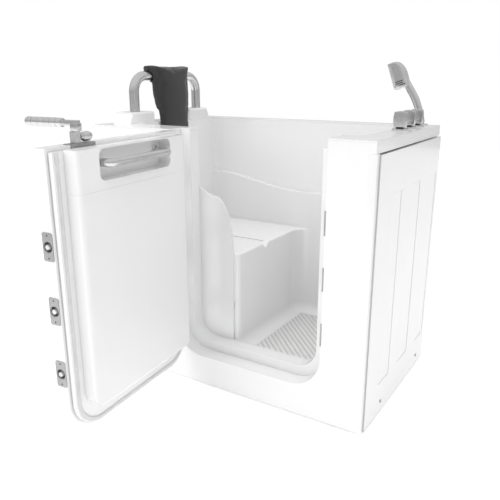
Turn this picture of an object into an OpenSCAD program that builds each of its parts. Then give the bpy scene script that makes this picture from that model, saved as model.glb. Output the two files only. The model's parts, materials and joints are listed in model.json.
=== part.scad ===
// Walk-in bathtub with an outward-opening door, shown with the door open.
// Drawn in millimetres with +Z up. The tub's front left lower corner is the drawing corner,
// and placed() moves everything so that the centre foot stands on the origin.

/* [Tub] */
// Length of the tub along its front, side panel included
tub_length = 1143; // [1000:1400]
// Depth of the tub from front to back
tub_depth = 673; // [600:900]
// Height of the deck above the floor
deck_height = 965; // [850:1050]
// Wall of the acrylic moulding
wall = 6; // [4:0.5:10]
// Height of the rim turned down round the deck
rim_drop = 38; // [25:60]
// Height of the front face's lower edge above the floor
front_clearance = 6; // [4:20]
// How far the side panel stands out past the front face
panel_proud = 7; // [4:12]

/* [Doorway] */
// Left side of the doorway
door_left = 375; // [300:450]
// Right side of the doorway
door_right = 982; // [900:1050]
// Floor of the doorway's rebate
rebate_floor = 120; // [100:160]
// Radius of the rebate's lower corners
rebate_radius = 115; // [80:140]
// Depth of the rebate down to the seal land
rebate_depth = 62; // [50:80]
// Left side of the inner opening
inner_left = 418; // [400:450]
// Right side of the inner opening
inner_right = 940; // [900:970]
// Height of the threshold
threshold_height = 160; // [140:200]
// Radius of the inner opening's lower corners
inner_radius = 75; // [50:100]
// Height of the seal land's top at the right jamb
right_land_top = 928; // [900:950]

/* [Basin] */
// Depth of the basin's front wall behind the front face
basin_front = 111; // [100:130]
// Upper inner face of the back wall
basin_back = 630; // [580:650]
// Lower inner face of the back wall, below the ledge
ledge_back = 600; // [560:630]
// Inner face of the right wall
basin_right = 1047; // [980:1080]
// Top of the sloping back rest
rest_top_x = 118; // [80:160]
// Foot of the back rest at the seat
rest_foot_x = 150; // [110:200]
// Height of the seat
seat_height = 508; // [440:560]
// Front edge of the seat
seat_front = 585; // [520:640]
// Radius of the seat's front edge
seat_nose_radius = 8; // [7:19]
// Height of the foot well's floor
well_floor = 130; // [100:160]
// Radius of the upright corners
corner_radius = 60; // [40:80]
// Radius where the floor meets the walls
cove_radius = 38; // [20:55]
// Height of the ledge on the back wall at the back rest
ledge_height = 725; // [650:800]
// Fall of that ledge towards the foot end
ledge_fall = 60; // [30:90]
// Right edge of the shield wall beside the seat
shield_right = 565; // [520:600]
// Height of the shield wall's top
shield_height = 720; // [680:760]
// Height at which the shield wall's edge turns upright
shield_turn = 512; // [510:620]
// Width over which the shield wall's top falls away
shield_fall_width = 80; // [50:90]
// Rise of the shield wall's top towards the jamb
shield_rise = 26; // [10:40]
// Radius with which the foot well turns out to the shield wall's edge
shield_turn_in = 20; // [19:20]
// Width of the drain groove in the seat
seat_groove_width = 36; // [25:60]
// Depth of the drain groove in the seat
seat_groove_depth = 4; // [2:0.5:5]
// Distance of the drain groove from the front
seat_groove_y = 317; // [250:380]
// Width of the notch in which the groove ends at the seat's edge
notch_width = 58; // [40:70]
// Depth of that notch
notch_depth = 22; // [12:30]

/* [Floor grip] */
// Height of the anti-slip bars
grip_height = 1.5; // [1:0.1:3]
// Width of an anti-slip bar
grip_width = 14; // [8:30]
// Distance from bar to bar
grip_pitch = 18.6; // [16:0.1:50]
// Plain border left round the bars
grip_border = 48; // [30:70]

/* [Crown, rail and headrest] */
// Height of the two bosses above the deck
boss_height = 43; // [30:60]
// Width of each boss at its foot
boss_width = 140; // [100:170]
// Distance of a boss from the front or back edge
boss_inset = 80; // [60:110]
// Outer edge of the bosses
boss_left = 30; // [20:50]
// Slope of each boss's outer end
boss_slope = 17; // [10:30]
// Radius of a boss's top edges
boss_round = 8; // [4:12]
// Diameter of the rail's tube
rail_diameter = 38; // [30:45]
// Wall of the rail's tube
rail_wall = 2; // [1.5:0.5:3]
// Distance between the rail's legs
rail_span = 394; // [340:440]
// Height of the rail's upper run above the floor
rail_height = 1143; // [1080:1200]
// Distance of the rail from the tub's left end
rail_x = 90; // [70:110]
// Bend radius of the rail's corners
rail_bend = 62; // [50:80]
// Depth to which the rail's legs reach below the bosses' tops
rail_socket = 33; // [28:38]
// Diameter of the nuts that hold the rail's legs
rail_nut_diameter = 42; // [40:43]
// Height of those nuts
rail_nut_height = 14; // [8:18]
// Height of the headrest's top above the floor
pad_top = 1186; // [1160:1220]
// Height of the headrest's lower edge above the floor
pad_bottom = 915; // [880:950]
// Width of the headrest across its front at the top
pad_width = 190; // [150:230]
// Front face of the headrest
pad_front_x = 132; // [120:150]
// Dip of the headrest's upper edge
pad_dip = 9; // [4:16]
// Width of the headrest's rear edge as a share of its front's
pad_flare_share = 1.3; // [1:0.05:1.4]
// Width of the headrest's foot as a share of its front's
pad_taper_share = 0.8; // [0.6:0.05:1]
// Thickness of the headrest's foot
pad_foot = 16; // [10:20]
// Radius of the headrest's edges
pad_round = 12; // [6:15]
// How far the headrest's front swells
pad_crown = 8; // [4:12]
// Thickness of the headrest's lip behind the rail
pad_lip = 5; // [3:8]
// How far that lip reaches below the rail's centre line
pad_lip_drop = 18; // [5:30]

/* [Side panel] */
// Thickness of the panel's sheet
panel_sheet = 4; // [2:0.5:6]
// Depth of the three pressed bays
bay_depth = 2.5; // [2:0.5:8]
// Width of a bay
bay_width = 106; // [80:130]
// Lower end of the bays
bay_bottom = 126; // [100:160]
// Upper end of the bays
bay_top = 790; // [700:850]
// Radius of a bay's corners
bay_corner = 6; // [3:15]
// Diameter of the panel's screws
panel_screw = 6; // [4:8]
// Height of the panel's screws above the floor
panel_screw_z = 46; // [44:56]
// Distances of the panel's screws from the front
panel_screw_y = [170, 585];
// Distance from the front to the first bay's middle
bay_first_y = 183; // [120:190]
// Distance from bay to bay
bay_pitch = 207; // [140:210]
// Width of the panel's returns
panel_return = 22; // [15:30]

/* [Frame] */
// Side of the square frame tube
tube_side = 25; // [20:30]
// Wall of the frame tube
tube_wall = 2; // [1.5:0.5:3]
// Height of the base frame's underside above the floor
frame_height = 35; // [30:60]
// Diameter of a levelling foot
foot_diameter = 40; // [34:42]
// Height of a levelling foot's pad
foot_height = 12; // [8:20]
// Diameter of a levelling foot's stud
stud_diameter = 12; // [10:16]
// Distance of the outer frame tubes from the tub's outline
frame_inset = 15; // [10:20]
// Back frame rail, measured from the tub's back
frame_back = 8; // [8:12]
// Cross rail and posts under the back of the seat
seat_rail_x = 200; // [180:260]
// Cross rail and posts under the front of the seat
seat_front_rail_x = 480; // [430:510]
// Cross rail and posts under the foot well
well_rail_x = 800; // [700:840]
// Uprights at the right end of the frame
right_post_x = 1018; // [1000:1024]
// Distance of the inner posts from the basin's front and back faces
post_indent = 66; // [66:110]

/* [Door] */
// How far the door stands open
door_open = 85; // [0:100]
// Free edge of the door's outer slab, closed
slab_right = 972; // [900:980]
// Hinge edge of the door's outer slab, closed
slab_left = 384; // [378:400]
// Lower edge of the slab
slab_bottom = 124; // [121:140]
// Radius of the slab's lower corners
slab_radius = 110; // [80:140]
// Thickness of the slab
slab_thickness = 42; // [36:50]
// Sheet of the door's skins
skin = 3.5; // [2.5:0.5:5]
// Shadow gap behind the slab
shadow_gap = 3; // [2:0.5:5]
// Back face of the rear flange, closed
flange_back = 59; // [55:61]
// Inset of the flange from the slab's edge
flange_inset = 8; // [5:15]
// Top of the rear flange
flange_top = 955; // [930:960]
// Hinge side of the inner panel, closed
panel_left = 426; // [422:480]
// Free side of the inner panel, closed
panel_right = 926; // [900:935]
// Lower edge of the inner panel
panel_bottom = 204; // [180:240]
// Radius of the inner panel's lower corners
panel_radius = 48; // [30:70]
// Inner face of the panel, closed
panel_back = 105; // [95:108]
// Top of the inner panel
panel_top = 958; // [930:962]
// Joint between the inner panel and its cap
cap_joint = 842; // [780:860]
// Left end of the hand recess
recess_left = 512; // [480:560]
// Right end of the hand recess
recess_right = 843; // [780:880]
// Lower edge of the hand recess
recess_bottom = 867; // [850:890]
// Depth of the hand recess
recess_depth = 42; // [30:46]
// Diameter of the door's grab bar
bar_diameter = 24; // [20:32]
// Height of the door's grab bar
bar_height = 915; // [890:930]
// How far the bar's centre stands out from the inner panel
bar_proud = 17; // [10:25]
// Left end of the grab bar
bar_left = 505; // [480:520]
// Right end of the grab bar
bar_right = 857; // [840:880]
// Diameter of the posts that carry the bar
post_diameter = 14; // [10:18]
// Distance of the posts from the recess's ends
post_inset = 24; // [18:60]
// Lip left over the recess
recess_lip = 4; // [2:0.5:6]
// Radius of the recess's corners
recess_corner = 20; // [8:30]
// Radius of the inner panel's inner edges
panel_edge = 12; // [8:20]
// Distance of the seal's centre from the slab's edge
seal_inset = 21.5; // [20:0.5:24]
// Width of the seal
seal_width = 14; // [10:16]
// Depth of the seal's channel
seal_depth = 6; // [4:0.5:10]
// Height at which the seal ends
seal_top = 925; // [900:930]

/* [Latch] */
// Heights of the three bolts
bolt_heights = [327, 519, 704];
// Diameter of a bolt
bolt_diameter = 20; // [14:24]
// Diameter of the hole round a bolt in its plate
bolt_hole = 31; // [24:34]
// How far a bolt's nose stands out at rest
bolt_rest = 4; // [1:0.5:6]
// Length of a latch plate
latch_plate_length = 80; // [60:100]
// Width of a latch plate
latch_plate_width = 36; // [30:40]
// Thickness of the latch and strike plates
plate_thickness = 2; // [1:0.5:3]
// Distance of the bolts from the slab's outer face
bolt_depth = 21; // [18:25]
// Diameter of the hole in a strike plate
strike_hole = 24; // [22:28]
// Diameter of the bolts' mouths in the jamb
bolt_mouth = 26; // [24:30]
// Length of a bolt's tapered nose
bolt_taper = 8; // [4:12]
// Length of a bolt's guide behind the slab's edge
guide_length = 16; // [10:17]
// Radius of the corners of the plates and the bearing block
plate_corner = 6; // [3:10]
// Diameter of the plates' screws
plate_screw = 5; // [3:0.5:5]
// Length of the plates' screws
plate_screw_length = 12; // [8:15]
// Distance of those screws from a plate's ends
plate_screw_inset = 8; // [7:10]
// Width of a strike plate's lip on the front face
strike_lip = 5; // [3:0.5:8]
// Distance of the carrier's back from the slab's free edge
carrier_inset = 47; // [45:60]
// Width of the carrier
carrier_width = 10; // [6:12]
// Depth of the carrier
carrier_depth = 12; // [12:16]
// Distance of the lever's spindle from the free edge
lever_inset = 127; // [90:180]
// Distance of the spindle from the slab's outer face
lever_depth = 28; // [26:30]
// Module of the pinion and rack
tooth_module = 1; // [0.5:0.25:1.5]
// Number of teeth on the pinion
pinion_teeth = 18; // [14:24]
// Pressure angle of the teeth in degrees
pressure_angle = 20; // [20:0.5:22]
// Play between the rack's and the pinion's teeth
backlash = 0.15; // [0.1:0.05:0.3]
// Teeth of the rack to the left of the spindle
rack_teeth = 7; // [6:9]
// Thickness of the rack behind its teeth
rack_back = 7; // [4:8]
// Width of the rack and the pinion
gear_width = 12; // [8:20]
// Height of the gears' upper faces above the floor
gear_top = 953; // [930:960]
// Diameter of the lever's spindle
spindle_diameter = 14; // [10:14]
// Diameter of the stem between the bearing and the arm
stem_diameter = 17; // [15:22]
// Length of the lever's grip
grip_length = 130; // [100:160]
// Diameter of the lever's grip
grip_diameter = 26; // [20:32]
// Height of the lever's arm above the slab
arm_rise = 55; // [45:70]
// Width of the lever's arm
arm_width = 22; // [18:28]
// Thickness of the lever's arm
arm_thickness = 14; // [10:16]
// How far the arm reaches back past the spindle
arm_back = 16; // [12:24]
// Distance from the spindle to the grip
grip_start = 60; // [50:80]
// Diameter of the tang inside the grip
tang_diameter = 12; // [8:14]
// Number of rings on the grip
ring_count = 5; // [3:7]
// Height of the grip's rings
ring_rise = 2; // [1:0.5:2.5]
// Length of the plain collar at the grip's foot
ring_collar = 17; // [8:25]
// Reach of the lever's plate to the hinge side
plate_reach_left = 60; // [58:80]
// Reach of the lever's plate to the free side
plate_reach_right = 35; // [25:45]
// Length of the plate's lip behind the slab
lever_lip = 12; // [8:20]
// Front edge of the lever's plate
plate_front = 17; // [10:18]
// Depth of the bearing block
bearing_depth = 18; // [17:22]
// Distance of the bearing block from the slab's back
bearing_lead = 5; // [2:5]
// Width of the bearing block
bearing_width = 26; // [24:30]
// Height of the bearing block
bearing_height = 31; // [28:34]
// Diameter of the friction knob
knob_diameter = 27; // [22:28]
// Length of the friction knob
knob_length = 46; // [35:52]
// Diameter of the friction knob's stub
knob_spindle = 8; // [6:10]
// Depth of the stub's bore in the bearing block
knob_seat = 4.5; // [3:0.5:5]
// Number of flutes on the friction knob
knob_flutes = 12; // [8:16]
// Distance of the friction knob's axis from the slab's outer face
knob_y = 31; // [30:32]

/* [Hinges] */
// Distance of the hinge pin from the tub's left end
hinge_x = 366; // [355:375]
// Distance of the hinge pin in front of the tub
hinge_out = 28; // [24:34]
// Heights of the hinges
hinge_heights = [250, 545, 840];
// Length of a hinge
hinge_length = 90; // [70:120]
// Diameter of a hinge's knuckles
knuckle_diameter = 20; // [16:24]
// Diameter of a hinge's pin
pin_diameter = 9; // [6:12]
// Width of a hinge leaf from the pin
leaf_width = 46; // [40:55]
// Thickness of a hinge leaf
leaf_thickness = 3; // [2:0.5:4]

/* [Taps and hand shower] */
// Distance of the taps from the tub's left end
tap_x = 1076; // [1076:1090]
// Distance of the first tap from the front
tap_first_y = 380; // [340:420]
// Distance from tap to tap
tap_pitch = 94; // [80:100]
// Height of a tap's handle
handle_height = 58; // [45:70]
// Width of a tap's handle
handle_width = 47; // [30:50]
// Thickness of a tap's handle
handle_thickness = 16; // [15:24]
// Diameter of an escutcheon
escutcheon_diameter = 56; // [48:64]
// Distance of the hand shower from the front
shower_y = 642; // [620:650]
// Diameter of the hand shower's handle
shower_diameter = 24; // [20:28]
// Thickness of an escutcheon
escutcheon_thickness = 5; // [3:0.5:8]
// Radius of a handle's edges
handle_round = 4; // [2:0.5:6]
// Diameter of a valve's body
valve_diameter = 40; // [34:44]
// Length of a valve's body
valve_length = 78; // [70:100]
// Diameter of a valve's neck
valve_neck = 24; // [20:28]
// Diameter of a valve's spindle
valve_spindle = 10; // [8:12]
// Height of the nuts under the deck
valve_nut_height = 8; // [6:12]
// Diameter of the supply tails
supply_diameter = 16; // [14:20]
// Bore of the supply tails
supply_bore = 13; // [10:13]
// Length of the supply tails
supply_length = 45; // [30:80]
// Height of the bath filler above the floor
spout_height = 905; // [890:912]
// Diameter of the bath filler's tube
spout_diameter = 24; // [20:28]
// Length of the filler's tail behind the wall
spout_tail = 3; // [2:0.5:3]
// Diameter of the cradle's neck through the deck
cradle_neck = 38; // [36:40]
// Diameter of the cradle's base
cradle_base = 48; // [44:50]
// Diameter of the hand shower's spigot
spigot_diameter = 16; // [12:17]
// Length of that spigot
spigot_length = 26; // [20:27]
// Lean of the cradle's socket in degrees
shower_tilt = 18; // [10:20]
// Diameter of the handle's foot
shower_foot = 20; // [17:24]
// Length of the handle's straight foot
foot_length = 26; // [20:40]
// Bend radius of the handle
shower_bend_radius = 430; // [380:5:500]
// Angle of the handle's bend in degrees
shower_bend = 20; // [16:24]
// Lean of the hand shower's head in degrees
head_tilt = 20; // [15:25]
// How far the head's middle lies in front of the handle's end
head_offset = 14; // [10:18]
// How far the head's middle lies past the handle's end
head_rise = 26; // [20:30]
// Length of the hand shower's head
head_length = 98; // [80:110]
// Width of the hand shower's head
head_width = 56; // [44:60]
// Thickness of the hand shower's head
head_thickness = 50; // [40:54]
// Depth of the recess for the face plate
face_depth = 4; // [3:0.5:6]
// Diameter of a nozzle
nozzle_diameter = 4; // [2:0.5:5]

/* [Drain and overflow] */
// Distance of the drain from the tub's left end
drain_x = 940; // [860:1000]
// Distance of the drain from the front
drain_y = 427; // [420:440]
// Diameter of the drain's flange
drain_diameter = 76; // [60:90]
// Height of the overflow above the floor
overflow_height = 800; // [740:860]
// Diameter of the overflow's cover
overflow_diameter = 70; // [60:80]
// Diameter of the waste pipes
waste_diameter = 40; // [32:50]
// Wall of the waste pipes
pipe_wall = 3; // [2:0.5:4]
// Thickness of the drain's flange
drain_flange = 3; // [2:0.5:4]
// Diameter of the drain plug
plug_diameter = 54; // [48:60]
// Diameter of the plug's stem and the knob's spindle
stem_bore = 8; // [6:10]
// Thickness of the overflow's cover
overflow_cover = 8; // [6:12]
// Distance of the overflow pipe's centre line from the basin's wall
pipe_offset = 34; // [30:36]
// Depth of the overflow knob
knob_depth = 12; // [8:16]

/* [Fits] */
// Gap between separate pieces that move past each other
move_gap = 0.3; // [0.2:0.05:0.6]
// Radial clearance of a pin or spindle in its bore
running = 0.05; // [0.02:0.01:0.09]
// Radial clearance of a fixed piece in its hole
seat_gap = 0.02; // [0.01:0.01:0.1]
// How far every cut runs past its face
over = 2; // [1:0.5:4]

/* [Hidden] */
moulding_length = tub_length - panel_proud;
deck_under = deck_height - wall;
basin_front_in = basin_front + wall;
mid_y = tub_depth / 2;
// The side panel's returns and the fascia's right end
panel_inner = tub_length - panel_return;
fascia_right = panel_inner - shadow_gap;
panel_top_z = deck_height - rim_drop - panel_sheet;
boss_top = deck_height + boss_height;
rail_front_y = mid_y - rail_span / 2;
rail_back_y = mid_y + rail_span / 2;
rest_lean = atan((rest_foot_x - rest_top_x) / (deck_height - seat_height));
flange_front = slab_thickness + shadow_gap;
lever_x = slab_right - lever_inset;
pitch_radius = tooth_module * pinion_teeth / 2;
tap_places_y = [tap_first_y, tap_first_y + tap_pitch, tap_first_y + 2 * tap_pitch];

// Places of the frame's tubes
long_rails_y = [frame_inset, tub_depth - frame_back - tube_side];
end_rail_x = tub_length - panel_sheet - tube_side;
middle_rail_x = tub_length / 2 - tube_side / 2;
cross_rails_x = [frame_inset, seat_rail_x, seat_front_rail_x, middle_rail_x, well_rail_x, right_post_x, end_rail_x];
corner_posts = [[frame_inset, long_rails_y[0]], [right_post_x, long_rails_y[0]], [right_post_x, long_rails_y[1]],
  [frame_inset, long_rails_y[1]]];
seat_posts_x = [seat_rail_x, seat_front_rail_x];
seat_posts_y = [basin_front_in + post_indent, ledge_back - post_indent - tube_side];

$fn = 64;

white = [0.95, 0.95, 0.94];
chrome = [0.76, 0.76, 0.77];
steel = [0.60, 0.61, 0.62];
dark = [0.23, 0.23, 0.24];
plastic = [0.84, 0.85, 0.86];

module at(x, y, z = 0) {
  translate([x, y, z]) children();
}

// Moves the drawing so that the centre foot stands on the origin.
module placed() {
  at(-tub_length / 2, -tub_depth / 2, 0) children();
}

// Swings what is drawn in the closed doorway open about the hinge pins.
module opened() {
  placed() at(hinge_x, -hinge_out, 0) rotate([0, 0, -door_open])
    at(-hinge_x, hinge_out, 0) children();
}

// A flat outline in width and height, given thickness from y0 to y1.
module along_y(y0, y1) {
  at(0, y1, 0) rotate([90, 0, 0]) linear_extrude(y1 - y0) children();
}

// A flat outline in depth and height, given thickness from x0 to x1.
module along_x(x0, x1) {
  at(x0, 0, 0) rotate([90, 0, 90]) linear_extrude(x1 - x0) children();
}

module block(x0, x1, y0, y1, z0, z1) {
  at(x0, y0, z0) cube([x1 - x0, y1 - y0, z1 - z0]);
}

module rod_x(x0, x1, y, z, d) {
  at(x0, y, z) rotate([0, 90, 0]) cylinder(h = x1 - x0, d = d);
}

module rod_y(x, y0, y1, z, d) {
  at(x, y1, z) rotate([90, 0, 0]) cylinder(h = y1 - y0, d = d);
}

module rod_z(x, y, z0, z1, d) {
  at(x, y, z0) cylinder(h = z1 - z0, d = d);
}

module round_rect(x0, y0, x1, y1, r) {
  at(x0 + r, y0) square([x1 - x0 - 2 * r, y1 - y0]);
  at(x0, y0 + r) square([x1 - x0, y1 - y0 - 2 * r]);
  for (x = [x0 + r, x1 - r], y = [y0 + r, y1 - r]) at(x, y) circle(r = r);
}

// Two upright sides joined by a floor with round corners, open at the top.
module u_shape(x0, x1, z0, z1, r) {
  at(x0, z0 + r) square([x1 - x0, z1 - z0 - r]);
  at(x0 + r, z0) square([x1 - x0 - 2 * r, r + over]);
  for (x = [x0 + r, x1 - r]) at(x, z0 + r) circle(r = r);
}

module doorway(g, top) {
  u_shape(door_left - g, door_right + g, rebate_floor - g, top, rebate_radius + g);
}

module inner_doorway(g, top) {
  u_shape(inner_left - g, inner_right + g, threshold_height - g, top, inner_radius + g);
}

// Front face, rebate, seal land and the return round the inner opening, in one moulding.
module front_shell() {
  cut_top = deck_height + over;
  color(white) placed() difference() {
    union() {
      along_y(0, wall) difference() {
        union() {
          at(0, front_clearance) square([fascia_right, deck_under - front_clearance]);
          at(0, deck_height - rim_drop) square([moulding_length, rim_drop - wall]);
        }
        doorway(0, cut_top);
      }
      along_y(wall, rebate_depth + wall) difference() {
        doorway(wall, deck_under);
        doorway(0, cut_top);
      }
      along_y(rebate_depth, rebate_depth + wall) difference() {
        doorway(wall, deck_under);
        inner_doorway(0, cut_top);
      }
      along_y(rebate_depth + wall, basin_front) difference() {
        inner_doorway(wall, deck_under);
        inner_doorway(0, cut_top);
      }
      block(inner_right, door_right, rebate_depth, basin_front, right_land_top - wall, right_land_top);
      block(door_right, door_right + wall, rebate_depth, basin_front, right_land_top - wall, deck_under);
    }
    // The seal land and the return are lower at the right jamb.
    block(inner_right - over, door_right, rebate_depth, basin_front + over, right_land_top, cut_top);
    for (z = bolt_heights) rod_x(door_right - over, door_right + wall + over, bolt_depth, z, bolt_mouth);
    plate_screw_places(door_right - plate_thickness, -90) flat_hole();
    leaf_screw_places(-1) flat_hole();
  }
}

// The room above the seat as a flat outline in width and height, grown by g.
module seat_room(g) {
  top = deck_height + over;
  centre = [rest_foot_x + cove_radius / tan((90 + rest_lean) / 2), seat_height + cove_radius];
  foot = rest_foot_x - g;
  head = rest_top_x - g;
  lean = (rest_foot_x - rest_top_x) / (deck_height - seat_height);
  difference() {
    polygon([[foot + g * lean, seat_height - g], [basin_right + g, seat_height - g],
      [basin_right + g, top], [head - over * lean, top]]);
    difference() {
      polygon([[foot - wall, seat_height - g - over], [centre[0], seat_height - g - over], centre,
        centre - (cove_radius + g + wall) * [cos(rest_lean), sin(rest_lean)]]);
      translate(centre) circle(r = cove_radius + g);
    }
  }
}

module basin_plan(g, back) {
  round_rect(rest_top_x - g, basin_front_in - g, basin_right + g, back + g, corner_radius + g);
}

// The part of the back wall above the ledge, in width and height.
module above_ledge(g) {
  steps = 12;
  run = seat_front - rest_top_x;
  line = [for (i = [0:steps]) [rest_top_x + run * i / steps,
    ledge_height - g - ledge_fall * (1 - cos(180 * i / steps)) / 2]];
  polygon(concat([[rest_top_x - 2 * wall, deck_height + over], [rest_top_x - 2 * wall, ledge_height - g]], line,
    [[basin_right + wall, ledge_height - ledge_fall - g], [basin_right + wall, deck_height + over]]));
}

// The foot well in plan, its front left corner turned out to the shield wall's edge.
module well_plan(g) {
  y = basin_front_in + shield_turn_in;
  round_rect(seat_front - g, basin_front_in - g, basin_right + g, ledge_back + g, corner_radius + g);
  difference() {
    at(shield_right, basin_front_in - g) square([seat_front + corner_radius - shield_right,
      corner_radius + g]);
    at(shield_right, y) circle(r = shield_turn_in - g);
    at(shield_right - over, y) square([shield_turn_in - g + over, corner_radius]);
  }
}

// Turns a profile drawn outwards from the seat's front edge along that edge, in the distance from the
// wall's face (across) and in height.
module along_seat_front() {
  y0 = basin_front_in + shield_turn_in;
  y1 = ledge_back - corner_radius;
  along_y(y0, y1) at(seat_front, 0) children();
  at(shield_right, y0) rotate([0, 0, -90]) rotate_extrude(angle = 90)
    at(shield_turn_in, 0) children();
  at(seat_front + corner_radius, y1) rotate([0, 0, 90]) rotate_extrude(angle = 90)
    at(corner_radius, 0) mirror([1, 0]) children();
}

// Rounds the seat's front edge; the space outside its nose.
module seat_nose(g) {
  r = seat_nose_radius;
  intersection() {
    linear_extrude(deck_height) basin_plan(g, ledge_back);
    along_seat_front() difference() {
      at(-r, seat_height - r) square(r - g + over);
      at(-r, seat_height - r) circle(r = r - g);
    }
  }
}

// The hollow between the foot well's floor and the seat's front wall.
module well_cove(g) {
  r = cove_radius;
  along_seat_front() difference() {
    at(-g - over, well_floor - g - over) square(r + g + over);
    at(r, well_floor + r) circle(r = r + g);
  }
}

// The space of the blunt cone by which the drain groove spills over the seat's front edge.
module spill_notch(g) {
  slope = (notch_width - wall) / 2 / notch_depth;
  low = wall / 2 + g * (sqrt(1 + slope * slope) - slope);
  h = notch_depth + g + over;
  at(seat_front, seat_groove_y, seat_height - notch_depth - g)
    cylinder(h = h, r1 = low, r2 = low + slope * h);
}

// All the space inside the basin, grown by g.
module basin_space(g) {
  intersection() {
    along_y(0, tub_depth) seat_room(g);
    union() {
      linear_extrude(deck_height + over) basin_plan(g, ledge_back);
      intersection() {
        along_y(mid_y, basin_back + g) above_ledge(g);
        linear_extrude(deck_height + over) basin_plan(g, basin_back);
      }
    }
  }
  difference() {
    intersection() {
      along_y(0, tub_depth) u_shape(0, basin_right + g, well_floor - g, seat_height + over, cove_radius + g);
      along_x(0, tub_length) u_shape(basin_front_in - g, ledge_back + g, well_floor - g, seat_height + over,
        cove_radius + g);
      linear_extrude(deck_height) well_plan(g);
    }
    well_cove(g);
  }
  seat_nose(g);
  spill_notch(g);
}

// The opening in the basin's front wall, which leaves the shield wall beside the seat.
module shield_cut() {
  steps = 10;
  fall = shield_height - shield_turn;
  flat_x = shield_right - shield_fall_width;
  rise = [for (i = [0:steps - 1]) [inner_left + (flat_x - inner_left) * i / steps,
    shield_height + shield_rise * (1 - sin(90 * i / steps))]];
  curve = [for (i = [0:steps]) [flat_x + shield_fall_width * sin(90 * i / steps),
    shield_turn + fall * cos(90 * i / steps)]];
  difference() {
    inner_doorway(0, deck_height + over);
    polygon(concat([[inner_left - over, threshold_height - over], [inner_left - over, shield_height + shield_rise]],
      rise, curve, [[shield_right, threshold_height - over]]));
  }
}

module basin_well() {
  groove = seat_groove_width / 2;
  color(white) placed() difference() {
    union() {
      intersection() {
        basin_space(wall);
        block(0, tub_length, 0, tub_depth, 0, deck_under);
      }
      // The shield wall goes on down to the threshold in front of the seat.
      block(inner_left - wall, shield_right, basin_front, basin_front_in, threshold_height - wall, seat_height);
    }
    basin_space(0);
    along_y(basin_front - over, basin_front_in + over) shield_cut();
    // The wall behind the right land ends with it.
    block(inner_right - over, door_right, basin_front - over, basin_front_in + over, right_land_top, deck_height);
    block(rest_foot_x + cove_radius + groove, seat_front + over, seat_groove_y - groove, seat_groove_y + groove,
      seat_height - seat_groove_depth, seat_height + over);
    rod_z(rest_foot_x + cove_radius + groove, seat_groove_y, seat_height - seat_groove_depth, seat_height + over,
      seat_groove_width);
    rod_z(drain_x, drain_y, 0, well_floor + over, waste_diameter + 2 * pipe_wall + 2 * seat_gap);
    rod_x(basin_right - over, basin_right + wall + over, drain_y, overflow_height, waste_diameter);
    rod_x(basin_right - over, basin_right + wall + over, tap_places_y[1], spout_height, spout_diameter + 2 * seat_gap);
  }
}

// Diagonal anti-slip bars on the foot well's floor.
module grip_bars() {
  x0 = seat_front + grip_border;
  x1 = basin_right - grip_border;
  y0 = basin_front_in + grip_border;
  y1 = ledge_back - grip_border;
  reach = (x1 - x0) + (y1 - y0);
  color(white) placed() at(0, 0, well_floor) difference() {
    linear_extrude(grip_height) intersection() {
      at(x0, y0) square([x1 - x0, y1 - y0]);
      for (i = [0:floor(reach / grip_pitch / sqrt(2))])
        at(x0 + i * grip_pitch * sqrt(2), y0) rotate(135)
          at(0, -grip_width / 2) square([2 * (y1 - y0), grip_width]);
    }
    rod_z(drain_x, drain_y, -over, grip_height + over, drain_diameter + 2 * wall);
  }
}

module boss_outline(g) {
  slope = boss_slope;
  difference() {
    at(0, -over) square([boss_width, boss_height + over]);
    polygon([[-over, -2 * over], [g, -2 * over], [g, 0], [g + slope, boss_height - boss_round],
      [g + slope, boss_height + over], [-over, boss_height + over]]);
    if (g > 0) {
      at(-over, boss_height - g) square([boss_width + 2 * over, g + over]);
      at(boss_width - g, -2 * over) square([g + over, boss_height + 3 * over]);
    }
  }
}

// One hollow boss, its outer end towards the front.
module boss() {
  difference() {
    intersection() {
      along_x(boss_left, rest_top_x) boss_outline(0);
      along_y(0, boss_width) round_rect(boss_left, -2 * boss_height, rest_top_x, boss_height, boss_round);
    }
    along_x(boss_left + wall, rest_top_x - wall) boss_outline(wall);
  }
}

// Calls its child once at each boss, the rear one mirrored.
module boss_places() {
  at(0, boss_inset, deck_height) children();
  at(0, tub_depth - boss_inset, deck_height) mirror([0, 1, 0]) children();
}

// Flat deck with its turned-down rim and the two bosses that carry the rail.
module deck() {
  color(white) placed() difference() {
    union() {
      at(0, 0, deck_under) linear_extrude(wall) difference() {
        square([moulding_length, tub_depth]);
        basin_plan(0, basin_back);
        at(door_left, -over) square([door_right - door_left, rebate_depth + over]);
        at(inner_left, -over) square([door_right - inner_left, basin_front_in + 2 * over]);
      }
      at(0, 0, deck_height - rim_drop) linear_extrude(rim_drop - wall) difference() {
        at(0, wall) square([moulding_length, tub_depth - wall]);
        at(wall, -over) square([moulding_length - 2 * wall, tub_depth - wall + over]);
      }
      boss_places() boss();
    }
    boss_places() along_x(boss_left + wall, rest_top_x - wall) at(0, -wall) boss_outline(wall);
    for (y = [rail_front_y, rail_back_y])
      rod_z(rail_x, y, deck_height, boss_top + over, rail_diameter + 2 * seat_gap);
    for (y = tap_places_y) rod_z(tap_x, y, deck_under - over, deck_height + over, valve_neck + 2 * seat_gap);
    rod_z(tap_x, shower_y, deck_under - over, deck_height + over, cradle_neck + 2 * seat_gap);
  }
}

// Pressed bays, as flat outlines in depth and height.
module bay_outlines(g) {
  for (i = [0:2]) {
    y = bay_first_y + i * bay_pitch;
    round_rect(y - bay_width / 2 - g, bay_bottom - g, y + bay_width / 2 + g, bay_top + g, bay_corner + g);
  }
}

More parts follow.
